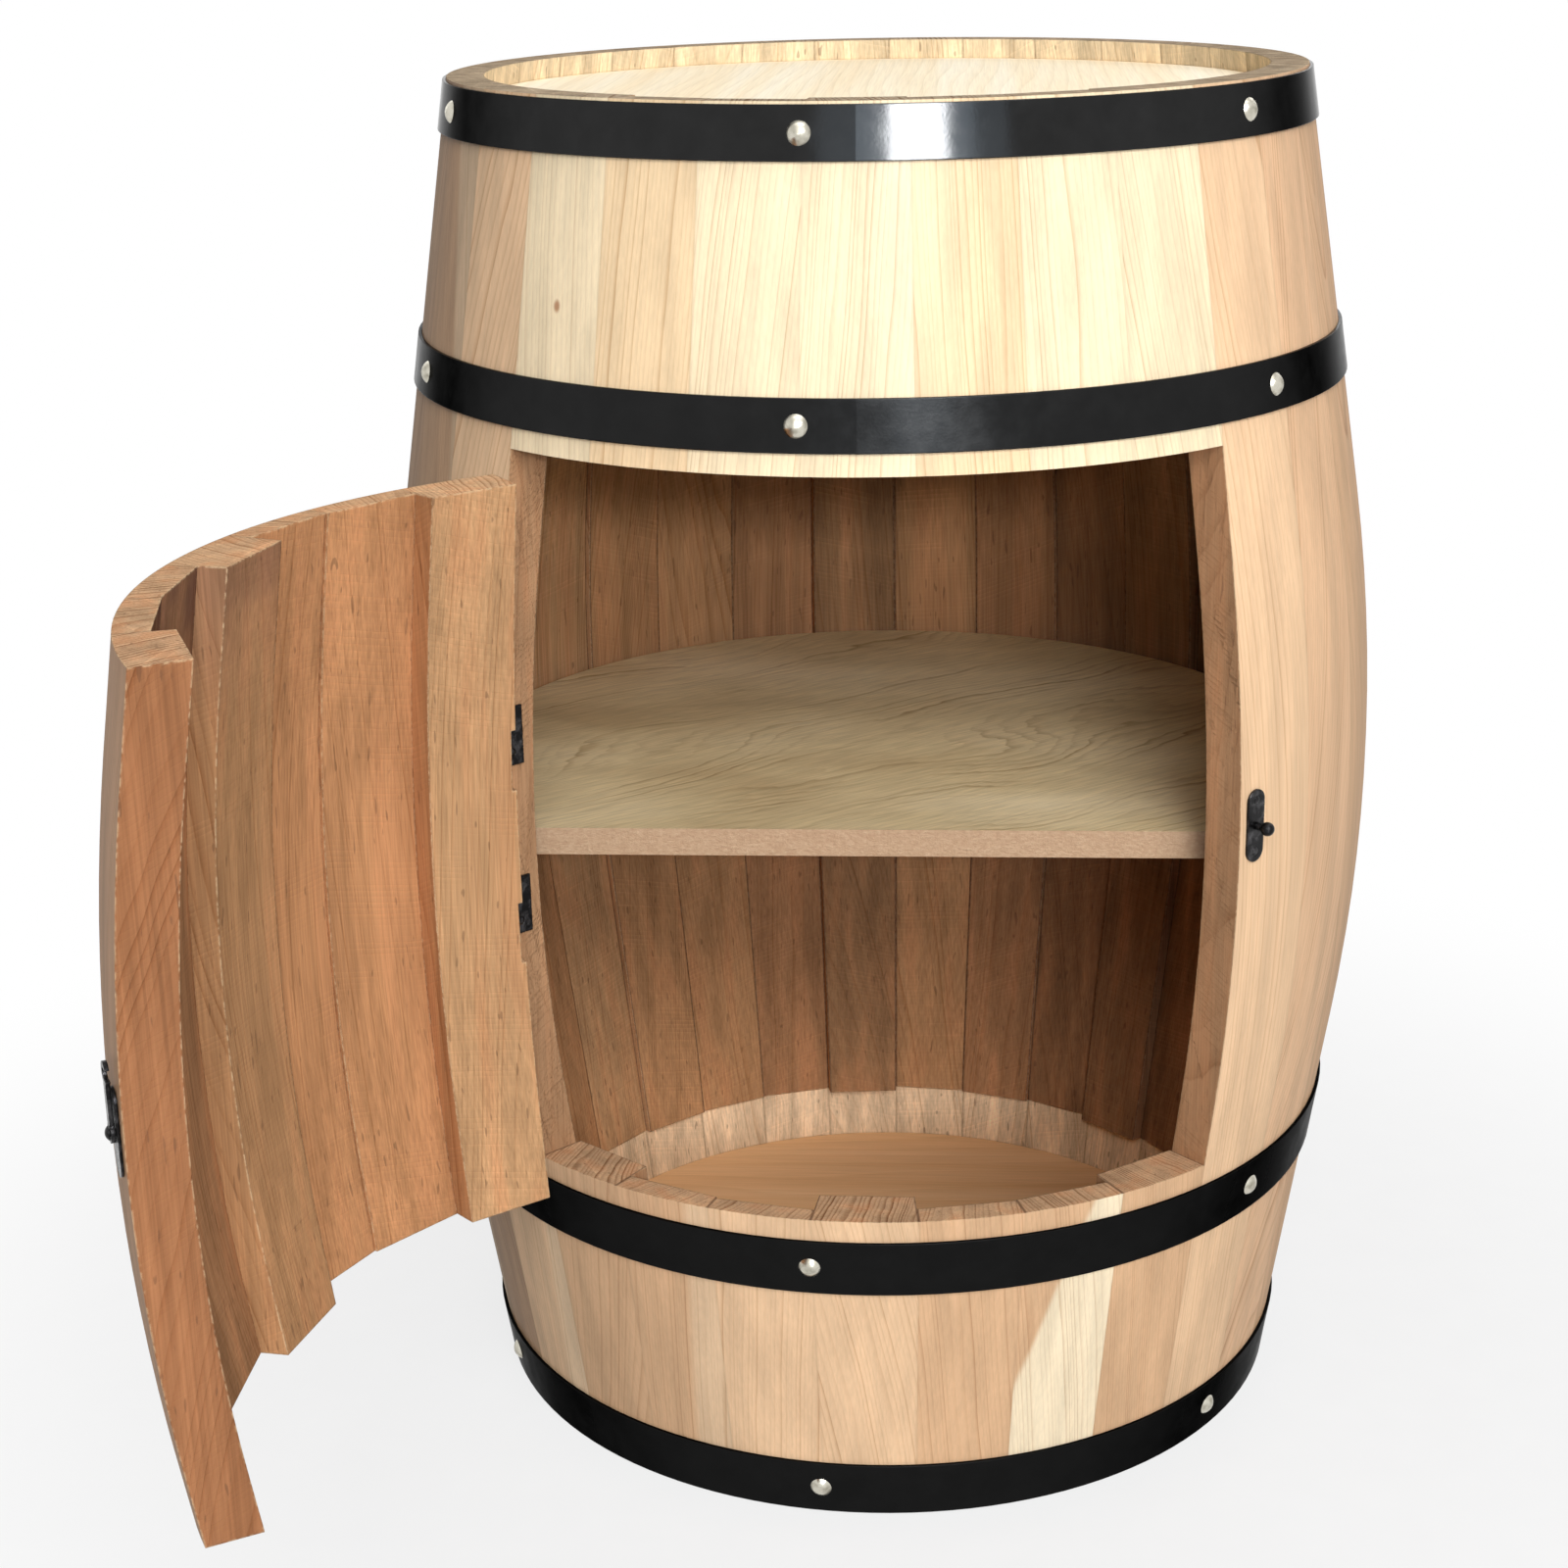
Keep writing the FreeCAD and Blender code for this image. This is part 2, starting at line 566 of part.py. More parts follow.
def build():
    """All pieces by node name, with the door open at its rest angle."""
    thickness_of = stave_thicknesses()
    blank = stave_blank()
    holes = rivet_holes()
    staves = {}
    for number, thickness in thickness_of.items():
        whole = stave(blank, number, thickness)
        staves[number] = whole.cut(holes_near(holes, number * STAVE_ANGLE))

    half = DOOR_STAVE_COUNT // 2
    fronts = [staves[number] for number in range(-half, half + 1)]
    sides = [staves[number] for number in range(half + 1, STAVE_COUNT - half)]
    hinges = {name: hinge_set(height) for name, height in hinge_heights().items()}
    latch = latch_set()
    sides[0] = sides[0].cut(latch["frame_cut"])
    sides[-1] = sides[-1].cut([hinge["frame_cut"] for hinge in hinges.values()])
    envelope = door_envelope()
    panels = [front.common(envelope) for front in fronts]
    panels[0] = panels[0].cut([hinge["door_cut"] for hinge in hinges.values()])
    panels[-1] = panels[-1].cut(latch["door_cut"])

    frame = {f"side_stave_{place + 1:02d}": side for place, side in enumerate(sides)}
    above = slab(OPENING_TOP, HEIGHT)
    below = slab(0, OPENING_ABOVE_FOOT)
    frame["upper_front_staves"] = Part.Compound([front.common(above) for front in fronts])
    frame["lower_front_staves"] = Part.Compound([front.common(below) for front in fronts])
    for name, (middle, width) in hoop_bands().items():
        frame[name] = hoop(middle, width).cut([hole for hole, _ in holes])
    frame["hoop_rivets"] = Part.Compound(rivets())
    frame["bottom_head"] = head(FOOT_RECESS, FOOT_RECESS)
    frame["top_head"] = head(TOP_RECESS, HEIGHT - TOP_RECESS - HEAD_THICKNESS)
    frame["shelf"] = shelf()
    frame["shelf_cleats"] = Part.Compound(cleats(thickness_of))
    for name in ("catch_plate", "catch_screws", "catch_stud"):
        frame[name] = latch[name]

    door = {f"door_stave_{place + 1}": panel for place, panel in enumerate(panels)}
    for name in ("latch_door_plate", "latch_door_screws", "latch_pivot_rivet", "latch_arm"):
        door[name] = latch[name]
    for name, hinge in hinges.items():
        frame[f"{name}_hinge_frame_leaf"] = hinge["frame_leaf"]
        frame[f"{name}_hinge_pin"] = hinge["pin"]
        door[f"{name}_hinge_door_leaf"] = hinge["door_leaf"]
    frame["hinge_frame_screws"] = Part.Compound([hinge["frame_screws"] for hinge in hinges.values()])
    door["hinge_door_screws"] = Part.Compound([hinge["door_screws"] for hinge in hinges.values()])

    for shape in door.values():
        shape.rotate(hinge_axis(), Z_AXIS, -DOOR_REST_ANGLE)
    return {**frame, **door}


os.makedirs("parts", exist_ok=True)
for node, solid in build().items():
    solid.exportStep(f"parts/{node}.step")
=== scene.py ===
import math
from types import SimpleNamespace

import bpy
from mathutils import Matrix, Vector

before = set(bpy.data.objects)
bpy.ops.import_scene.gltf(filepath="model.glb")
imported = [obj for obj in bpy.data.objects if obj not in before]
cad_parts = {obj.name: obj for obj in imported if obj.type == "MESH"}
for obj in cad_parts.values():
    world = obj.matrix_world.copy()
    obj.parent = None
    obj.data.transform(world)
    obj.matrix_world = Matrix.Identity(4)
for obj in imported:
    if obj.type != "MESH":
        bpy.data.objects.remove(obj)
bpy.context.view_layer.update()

# Sizes that the looks share with the barrel, in metres and radians
STAVE_COUNT = 29
STAVE_ANGLE = 2 * math.pi / STAVE_COUNT
MIDDLE = 0.3
REBATE_FROM_MIDDLE = 0.261
HINGE = Vector((-0.1517731, -0.1642238, 0.0))
DOOR_TURN = math.radians(103.3)

# The camera that took the photo
LENS = 63.149
SENSOR = 36.0
TILT = 0.32456
YAW = -0.07732
ROLL = 0.01998
CAMERA_PLACE = Vector((0.04883, -1.21878, 0.68472))

# Wood tones
SAP = (0.89, 0.74, 0.52)
CREAM = (0.86, 0.70, 0.47)
STRAW = (0.82, 0.61, 0.375)
PEACH = (0.80, 0.54, 0.33)
TAN = (0.68, 0.43, 0.25)
FAWN = (0.76, 0.49, 0.295)
ROSE = (0.65, 0.39, 0.23)
# A darker tone that paints the shade on the far left of the barrel
SHADED_TAWNY = (0.53, 0.335, 0.20)
HONEY = (0.55, 0.315, 0.157)
AMBER = (0.54, 0.262, 0.12)
BROWN = (0.40, 0.205, 0.10)
OAT = (0.49, 0.262, 0.125)
RUST = (0.31, 0.125, 0.056)
RUDDY = (0.40, 0.18, 0.083)
TURNED = (0.90, 0.67, 0.44)
SAWN_END = (0.66, 0.425, 0.25)
# Darker grey-brown of the sawn ends at the top: partly dark end grain, partly painted shade
TOP_END_AND_SHADE = (0.30, 0.235, 0.17)
JAMB = (0.57, 0.33, 0.18)
COCOA = (0.34, 0.185, 0.092)
CHESTNUT = (0.31, 0.16, 0.078)
BARK = (0.27, 0.135, 0.065)
# Painted shade of the hollow at the top of the door's inside, with a real stain on its middle stave
STAIN_AND_SHADE = (0.17, 0.085, 0.06)
SHADE = (0.12, 0.06, 0.035)
TOP_TONES = (SAP, (0.90, 0.78, 0.58), (0.91, 0.82, 0.65))
BOTTOM_TONES = ((0.82, 0.49, 0.245), (0.88, 0.555, 0.295), (0.93, 0.61, 0.345))
CLEAT_TONES = (COCOA, OAT, HONEY)

# Tone of each stave, from the back round by the left, the front and the right to the back again
FRONT_COUNT = 7
FRONT_START = 11
# The ninth and tenth staves, on the far left, are darker: painted shade of the side away from the lamps
SIDE_TONES = [TAN, PEACH, ROSE, TAN, PEACH, TAN, ROSE, TAN, SHADED_TAWNY, SHADED_TAWNY,
              PEACH, CREAM, STRAW, CREAM, CREAM, STRAW, CREAM, CREAM, PEACH, FAWN,
              TAN, ROSE, PEACH, ROSE, TAN, PEACH, TAN, ROSE, PEACH]
INNER_TONES = [COCOA, BROWN, OAT, OAT, HONEY, OAT, BROWN, COCOA, CHESTNUT, COCOA,
               COCOA, CHESTNUT, COCOA, COCOA, CHESTNUT, COCOA, CHESTNUT, CHESTNUT, COCOA, CHESTNUT,
               COCOA, BARK, CHESTNUT, COCOA, CHESTNUT, COCOA, CHESTNUT, BROWN, OAT]
LOWER_FRONT_TONES = [TAN, TAN, PEACH, PEACH, TAN, SAP, TAN]
DOOR_OUTER_FRONT_TONES = [PEACH, TAN, PEACH, ROSE, TAN, PEACH, ROSE]
# On the door's inside, the darker fifth and sixth tones, on the two thin staves between the middle stave and
# the free edge, are painted shade of the hollow there
DOOR_INNER_FRONT_TONES = [HONEY, AMBER, AMBER, OAT, BROWN, BARK, RUST]

# Chance numbers that set the wood of the barrel, of the short lower staves and of the door apart
BARREL_SEED = 3.0
LOWER_SEED = 40.0
DOOR_SEED = 71.0

# Each stave's grain is moved by its luck to another part of the tree
LUCK_ACROSS = 7.0
LUCK_DEPTH = 5.0

# The tree's heart as a stave sees it: how far to the side and how deep it lies, and how it leans and wanders
HEART_SIDE_LEAST = 0.035
HEART_SIDE_SPREAD = 0.10
HEART_SIDE_LEAN = 0.36
HEART_WANDER = 0.014
WANDER_LUCK = 9.0
WANDER_APART = 3.7
WANDER_RISE = 4.0
HEART_DEPTH = 0.03
HEART_DEPTH_SPREAD = 0.04
HEART_DEPTH_LEAN = 0.06
DEPTH_SHARE_LEAST = 0.15
DEPTH_SHARE_SPREAD = 0.25

# Growth rings: their width, how they ripple, and how good and bad years group
RING_LEAST = 0.0011
RING_SPREAD = 0.0010
RIPPLE_SCALE = (70.0, 70.0, 3.0)
RIPPLE_RINGS = 1.2
DECADE_SCALE = 130.0
DECADE_APART = 3.1
DECADE_RINGS = 5.0
YEARS_APART = 17.0
LATE_STOPS = [(0.0, 0.0), (0.55, 0.06), (0.84, 0.60), (0.94, 1.0), (1.0, 0.0)]
LATE_LEAST = 0.28
BROAD_RANGE = (0.35, 0.95)
BROAD_LEAST = 0.25

# Streaks along the grain
BAND_SCALE = (110.0, 110.0, 1.3)
FIBRE_SCALE = (1100.0, 1100.0, 13.0)
FLECK_SCALE = (620.0, 620.0, 110.0)
FIBRE_ROUGHNESS = 0.6
BAND_RANGE = (0.25, 0.75)
BAND_TONES_INSIDE = (0.78, 1.12)
BAND_TONES_OUTSIDE = (0.91, 1.08)
FIBRE_RANGE = (0.2, 0.8)
FIBRE_TONES_INSIDE = (0.82, 1.14)
FIBRE_TONES_OUTSIDE = (0.94, 1.05)
STAVE_CLOUD_SCALE = (55.0, 55.0, 14.0)
STAVE_CLOUD_ROUGHNESS = 0.6
STAVE_CLOUD_RANGE = (0.3, 0.7)
STAVE_CLOUD_TONES_INSIDE = (0.90, 1.11)
STAVE_CLOUD_TONES_OUTSIDE = (0.98, 1.02)
FLECK_RANGE = (0.75, 0.81)
FLECK_SHARE = 0.45

# How squarely a face has to look outward, inward or upward to count as an outer face, a wall or an end
OUTSIDE_RANGE = (0.45, 0.60)
WALL_RANGE = (0.35, 0.55)
END_RANGE = (0.55, 0.75)
REBATE_BLUR = 0.0002

# How far each tone covers the one under it
SAP_EDGE_LEAST = 0.125
SAP_EDGE_SPREAD = 0.09
SAP_BLUR = 0.004
SAP_SHARE = 0.3
TURNED_SHARE = 0.9
FOOT_TO_TOP = (-0.1, 0.1)
END_SHARE = 0.8
TOP_END_HEIGHT_RANGE = (0.20, 0.25)
FLANK_SHARE = 0.6
DOOR_FLANK_SHARE = 0.15

# The pale wedge on one of the lower staves: the stave, its border's place and slope, and how soft it is
WEDGE_STAVE = 2.0
WEDGE_ACROSS = -0.003
WEDGE_HEIGHT = 0.115
WEDGE_SLOPE = 0.32
WEDGE_RIPPLE = 0.004
WEDGE_BLUR = (-0.001, 0.0028)

# The small knot on one of the upper staves
KNOT_STAVE = -3.0
KNOT_HEIGHT = 0.2215
KNOT_STRETCH = 0.7
KNOT_RANGE = (0.0007, 0.0024)
KNOT_SHARE = 0.85

# Darkening by late wood, on long grain and on sawn ends
LATE_TINT = (0.64, 0.48, 0.36)
END_TINT = (0.36, 0.23, 0.16)
LATE_SHARE_INSIDE = 0.55
LATE_SHARE_OUTSIDE = 0.64
END_RINGS_LEAST = 0.34
END_RINGS_SPREAD = 0.30
BOLD_END_STAVE = 0.0
BOLD_END_SHARE = 0.40
RUDDY_RANGE = (0.45, 0.72)
RUDDY_SHARE = 0.50

# The stain and painted shade at the top of the door's inside: painted shade in the hollow over the two thin
# staves between the middle stave and the free edge, and a dark stain on the middle stave
STAIN_AND_SHADE_SCALE = 30.0
STAIN_AND_SHADE_BLOTCH_RANGE = (0.35, 0.65)
STAIN_AND_SHADE_HEIGHT_RANGE = (0.085, 0.160)
STAIN_AND_SHADE_FIRST_STAVES = (-1.5, 1.0)
STAIN_AND_SHADE_LAST_STAVES = (2.4, 2.6)
STAIN_AND_SHADE_LEAST = 0.40
STAIN_AND_SHADE_SPREAD = 0.5

# Saw marks across the inside and the cut faces
SAW_STEP = 0.0024
SAW_SLANT = 1.1
SAW_DEPTH_SLANT = 0.45
SAW_WAVE_SCALE = 9.0
SAW_WAVE = 0.010
SAW_SHARPNESS = 3.0
SAW_PATCH_SCALE = 24.0
SAW_PATCH_RANGE = (0.30, 0.62)
SAW_TONE_LEAST = 0.98
SAW_TONE_SPREAD = 0.25

# Dark joints between the staves, and torn, pale edges where the saw came through
JOINT_RANGE = (0.0002, 0.0010)
JOINT_SHARE = 0.75
DOOR_JOINT_SHARE = 0.25
TURNED_JOINT_SHARE = 0.30
OUTER_JOINT_SHARE = 0.10
EDGE_RADIUS = 0.0012
TORN_SCALE = 420.0
TORN_RANGE = (0.38, 0.62)
TORN_SHARE = 0.75
TORN_JOINT_SHARE = 0.9

# Finish of the staves: a thin satin coat outside, bare wood inside
INNER_ROUGHNESS = 0.80
OUTER_ROUGHNESS = 0.40
ROUGHNESS_SPREAD = 0.12
OUTER_COAT = 0.20
OUTER_COAT_ROUGHNESS = 0.28
STAVE_BUMP = 0.0005
FIBRE_HEIGHT = 0.30
LATE_HEIGHT = -0.25
SANDED_HEIGHT_SHARE = 0.20
SAW_HEIGHT = 0.55

# Boards of the heads and cleats
TOP_RING = 0.007
TOP_LINES = 0.16
TOP_ROUGHNESS = 0.4
BOTTOM_RING = 0.016
BOTTOM_LINES = 0.14
BOTTOM_ROUGHNESS = 0.4
CLEAT_RING = 0.008
CLEAT_LINES = 0.30
CLEAT_ROUGHNESS = 0.6
BOARD_WARP_SCALE = (9.0, 2.0)
BOARD_WARP_RINGS = 9.0
BOARD_STOPS = [(0.0, 0.0), (0.6, 0.25), (0.9, 1.0), (1.0, 0.0)]
BOARD_FIBRE_SCALE = (1400.0, 22.0)
BOARD_BAND_SCALE = (60.0, 2.0)
BOARD_TONE_STOPS = (0.3, 0.5, 0.7)
BOARD_LATE_TINT = (0.72, 0.60, 0.48)
BOARD_FIBRE_TONES = (0.92, 1.06)
BOARD_ROUGHNESS_SPREAD = 0.2
BOARD_COAT = 0.08
BOARD_COAT_ROUGHNESS = 0.35
BOARD_FIBRE_HEIGHT = 0.4
BOARD_LATE_HEIGHT = -0.3
BOARD_BUMP = 0.0003

# Shelf of plywood, with its figure on the slant
FIGURE_COSINE = 0.8
FIGURE_SINE = 0.6
FLOW_SCALE = (5.0, 8.0)
FLOW_DISTORTION = 0.4
FLOW_LINES = 26.0
FLAME_SCALE = (38.0, 90.0)
FLAME_LEVEL = 3.0
FLAME_LINES = 1.8
FIGURE_SPACING = 170.0
FIGURE_STOPS = [(0.0, 0.0), (0.45, 0.1), (0.88, 1.0), (1.0, 0.0)]
FADE_SCALE = (9.0, 24.0)
FADE_LEVEL = 5.0
FADE_RANGE = (0.35, 0.65)
FADE_LEAST = 0.25
LINE_LEAST = 0.12
LINE_SHARE = 0.78
LINE_TINT = (0.52, 0.40, 0.28)
PLY_FIBRE_SCALE = (60.0, 1100.0)
PLY_FIBRE_TONES = (0.82, 1.13)
CLOUD_SCALE = (6.0, 14.0)
CLOUD_LEVEL = 1.0
CLOUD_TONES = [(0.3, (0.60, 0.445, 0.24)), (0.5, (0.76, 0.60, 0.345)), (0.72, (0.90, 0.74, 0.47))]
CLOUD_RANGE = (0.3, 0.7)
PLY_ROUGHNESS = (0.50, 0.66)
PLY_GLOSS = 0.3
PLY_EDGE_RANGE = (0.4, 0.6)
FUZZ_SCALE = (500.0, 500.0, 900.0)
FUZZ_ROUGHNESS = 0.7
FUZZ_TONES = [(0.3, (0.42, 0.26, 0.155)), (0.5, (0.47, 0.305, 0.185)), (0.7, (0.53, 0.36, 0.23))]
PLY_FIBRE_HEIGHT = 0.25
FUZZ_HEIGHT = 1.2
PLY_BUMP = 0.0005

# Black steel of the hoops: how much it mirrors head on, and its roughness where clean and where dusty. The
# top hoop mirrors most and the lower hoops least: partly their finish, partly painted reflection at the top
# and painted shade below
LIT_POLISHED_STEEL = (0.025, 0.10, 0.16)
HALF_LIT_BRUSHED_STEEL = (0.019, 0.17, 0.25)
SHADED_SATIN_STEEL = (0.012, 0.30, 0.42)
STEEL_WAVE_SCALE = (14.0, 14.0, 5.0)
STEEL_GRAIN_SCALE = 900.0
STEEL_GRAIN_HEIGHT = 0.012
STEEL_BUMP = 0.0010
STEEL_EDGE = 0.0006
STEEL_RIM_TINT = (0.4, 0.4, 0.4, 1)
DUST_SCALE = 60.0
DUST_DETAIL = 4.0
DUST_ROUGHNESS = 0.65
DUST_STOPS = (0.35, 0.75)
DUST_BRIGHTENING = 1.25
DUST_RANGE = (0.3, 0.75)

# Nickel of the rivets
DENT_SCALE = 300.0
DENT_BUMP = 0.0003
TARNISH_SCALE = 260.0
TARNISH_TONES = [(0.32, (0.34, 0.315, 0.25)), (0.62, (0.64, 0.61, 0.52))]
TARNISH_RANGE = (0.3, 0.7)
NICKEL_ROUGHNESS = (0.42, 0.22)

# Black metal of the hinges and the latch
RUB_SCALE = 240.0
RUB_DETAIL = 3.0
RUB_ROUGHNESS = 0.6
RUB_TONES = [(0.45, (0.011, 0.0105, 0.011)), (0.72, (0.085, 0.082, 0.085))]
RUB_RANGE = (0.35, 0.7)
HARDWARE_METAL = 0.85
HARDWARE_ROUGHNESS = (0.34, 0.18)
HARDWARE_EDGE = 0.0009
PIT_SCALE = 1500.0
PIT_BUMP = 0.0001

# Soft edges are found by how far the softened normal turns away from the face
EDGE_SAMPLES = 4
EDGE_CLOSE_RANGE = (0.01, 0.12)

# Studio: the light from all round, the floor, and the lamps with place, aim, width, height, power and colour
WORLD_LIGHT = 0.08
FLOOR_REACH = 4.0
FLOOR_RINGS = 24
FLOOR_SPOKES = 96
FLOOR_SPECKLE_SCALE = 40.0
FLOOR_DETAIL = 3.0
FLOOR_TONES = [(0.3, (0.42, 0.42, 0.42)), (0.7, (0.46, 0.46, 0.46))]
FLOOR_ROUGHNESS = 0.9
FLOOR_GLOSS = 0.1
FLOOR_FADE_RANGE = (0.24, 0.70)
FLOOR_NEAR_WHITE = 0.80
WHITE = (1.0, 1.0, 1.0)
DAYLIGHT = (0.97, 0.985, 1.0)
SKY = (0.70, 0.85, 1.0)
DUSK = (0.65, 0.82, 1.0)
LAMPS = {
    "key": ((0.72, -2.36, 2.00), (0.0, -0.10, 0.30), 2.2, 1.0, 63.0, WHITE),
    "window": ((0.56, -2.58, 1.13), (0.0, -0.18, 0.56), 0.72, 0.19, 27.0, DAYLIGHT),
    "glow": ((0.54, -2.62, 1.12), (0.0, -0.18, 0.56), 1.40, 0.30, 4.0, SKY),
    "wide_glow": ((0.52, -2.66, 1.12), (0.0, -0.18, 0.56), 2.30, 0.30, 3.0, SKY),
    "low_window": ((0.52, -2.58, 0.80), (0.0, -0.18, 0.45), 0.60, 0.26, 1.0, DUSK),
    "ceiling": ((0.1, -0.2, 2.3), (0.0, 0.0, 0.4), 1.6, 1.6, 17.0, WHITE),
    "back": ((0.9, 2.5, 1.7), (0.0, 0.0, 0.3), 1.6, 1.4, 32.0, WHITE),
    "back_left": ((-1.9, 1.7, 1.6), (0.0, 0.0, 0.3), 1.4, 1.4, 5.0, WHITE),
}


def front_only(tones, elsewhere):
    """Tones for a whole round of staves of which only the front ones are used."""
    after = STAVE_COUNT - FRONT_START - FRONT_COUNT
    return [elsewhere] * FRONT_START + tones + [elsewhere] * after


def greys(stops):
    """Colour stops for a ramp from dark to light."""
    return [(place, (tone, tone, tone)) for place, tone in stops]


class Tree:
    """Builds one material: each call adds a node and gives back its output."""

    def __init__(self, name):
        self.material = bpy.data.materials.new(name)
        self.material.use_nodes = True
        self.nodes = self.material.node_tree.nodes
        self.links = self.material.node_tree.links
        self.shader = self.nodes["Principled BSDF"]

    def put(self, socket, value):
        if isinstance(value, bpy.types.NodeSocket):
            self.links.new(value, socket)
        elif isinstance(value, tuple) and len(value) == 3 and socket.type == "RGBA":
            socket.default_value = (*value, 1)
        else:
            socket.default_value = value

    def surface(self, **values):
        """Sets the shader's sockets, named with _ for a space."""
        for name, value in values.items():
            self.put(self.shader.inputs[name.replace("_", " ")], value)

    def math(self, operation, a, b=0.0, clamp=False):
        node = self.nodes.new("ShaderNodeMath")
        node.operation = operation
        node.use_clamp = clamp
        self.put(node.inputs[0], a)
        self.put(node.inputs[1], b)
        return node.outputs[0]

    def add(self, a, b):
        return self.math("ADD", a, b)

    def times(self, a, b):
        return self.math("MULTIPLY", a, b)

    def minus(self, a, b):
        return self.math("SUBTRACT", a, b)

    def whole(self, value):
        return self.math("FLOOR", value)

    def part(self, value):
        return self.math("FRACT", value)

    def size(self, value):
        return self.math("ABSOLUTE", value)

    def same(self, a, b):
        return self.math("COMPARE", a, b)

    def length(self, a, b):
        return self.math("SQRT", self.add(self.times(a, a), self.times(b, b)))

    def spread(self, value, width):
        """A chance number moved to lie evenly about zero."""
        return self.times(self.minus(value, 0.5), width)

    def scaled(self, value, least, spread):
        return self.add(self.times(value, spread), least)

    def vector(self, x, y, z):
        node = self.nodes.new("ShaderNodeCombineXYZ")
        for socket, value in zip(node.inputs, (x, y, z)):
            self.put(socket, value)
        return node.outputs[0]

    def split(self, value):
        node = self.nodes.new("ShaderNodeSeparateXYZ")
        self.put(node.inputs[0], value)
        return node.outputs[0], node.outputs[1], node.outputs[2]

    def vectors(self, operation, a, b):
        node = self.nodes.new("ShaderNodeVectorMath")
        node.operation = operation
        self.put(node.inputs[0], a)
        self.put(node.inputs[1], b)
        return node.outputs[1] if operation == "DOT_PRODUCT" else node.outputs[0]

    def noise(self, place, scale=1.0, detail=2.0, roughness=0.5, distortion=0.0):
        node = self.nodes.new("ShaderNodeTexNoise")
        self.put(node.inputs["Vector"], place)
        self.put(node.inputs["Scale"], scale)
        self.put(node.inputs["Detail"], detail)
        self.put(node.inputs["Roughness"], roughness)
        self.put(node.inputs["Distortion"], distortion)
        return node.outputs[0]

    def stretched(self, place, scales, detail, roughness=0.5):
        """Noise with its own scale along each axis."""
        return self.noise(self.vectors("MULTIPLY", place, scales), 1.0, detail, roughness)

    def level(self, x, y, scales, z, detail, roughness=0.5, distortion=0.0):
        """Noise over a level board, with one scale along x and one along y."""
        place = self.vector(self.times(x, scales[0]), self.times(y, scales[1]), z)
        return self.noise(place, 1.0, detail, roughness, distortion)

    def luck(self, value):
        """Three chance numbers that belong to a whole number."""
        node = self.nodes.new("ShaderNodeTexWhiteNoise")
        node.noise_dimensions = "1D"
        self.put(node.inputs["W"], value)
        return self.split(node.outputs["Color"])

    def range(self, value, low, high, to_low=0.0, to_high=1.0):
        node = self.nodes.new("ShaderNodeMapRange")
        node.interpolation_type = "SMOOTHSTEP"
        for name, number in (("Value", value), ("From Min", low), ("From Max", high),
                             ("To Min", to_low), ("To Max", to_high)):
            self.put(node.inputs[name], number)
        return node.outputs[0]

    def between(self, share, a, b):
        """From a to b as the share goes from 0 to 1."""
        return self.range(share, 0.0, 1.0, a, b)

    def ramp(self, value, stops, stepped=False):
        node = self.nodes.new("ShaderNodeValToRGB")
        node.color_ramp.interpolation = "CONSTANT" if stepped else "LINEAR"
        elements = node.color_ramp.elements
        while len(elements) > 1:
            elements.remove(elements[-1])
        elements[0].position = stops[0][0]
        elements[0].color = (*stops[0][1], 1)
        for place, colour in stops[1:]:
            elements.new(place).color = (*colour, 1)
        self.put(node.inputs[0], value)
        return node.outputs[0]

    def mix(self, share, a, b, blend="MIX"):
        node = self.nodes.new("ShaderNodeMix")
        node.data_type = "RGBA"
        node.blend_type = blend
        self.put(node.inputs[0], share)
        self.put(node.inputs[6], a)
        self.put(node.inputs[7], b)
        return node.outputs[2]

    def tinted(self, colour, tint):
        return self.mix(1.0, colour, tint, "MULTIPLY")

    def toned(self, colour, tone):
        return self.tinted(colour, self.vector(tone, tone, tone))

    def bump(self, height, distance, normal=None):
        node = self.nodes.new("ShaderNodeBump")
        self.put(node.inputs["Distance"], distance)
        self.put(node.inputs["Height"], height)
        if normal:
            self.put(node.inputs["Normal"], normal)
        return node.outputs[0]

    def blend(self, share, a, b):
        node = self.nodes.new("ShaderNodeMix")
        node.data_type = "VECTOR"
        self.put(node.inputs[0], share)
        self.put(node.inputs[4], a)
        self.put(node.inputs[5], b)
        return node.outputs[1]

    def rounded(self, radius):
        """A normal that turns softly at the edges."""
        node = self.nodes.new("ShaderNodeBevel")
        node.samples = EDGE_SAMPLES
        node.inputs["Radius"].default_value = radius
        return node.outputs[0]

    def place(self, turned=False):
        """Place and facing in the barrel with its door closed."""
        node = self.nodes.new("ShaderNodeTexCoord")
        place, facing = node.outputs["Object"], node.outputs["Normal"]
        if not turned:
            return place, facing
        turn = Matrix.Rotation(DOOR_TURN, 3, "Z")
        moved = self.nodes.new("ShaderNodeMapping")
        moved.inputs["Rotation"].default_value = (0, 0, DOOR_TURN)
        moved.inputs["Location"].default_value = HINGE - turn @ HINGE
        self.put(moved.inputs["Vector"], place)
        faced = self.nodes.new("ShaderNodeMapping")
        faced.vector_type = "VECTOR"
        faced.inputs["Rotation"].default_value = (0, 0, DOOR_TURN)
        self.put(faced.inputs["Vector"], facing)
        return moved.outputs[0], faced.outputs[0]


# Below, t is the tree of the material in hand, and s holds what is known of a point in its stave


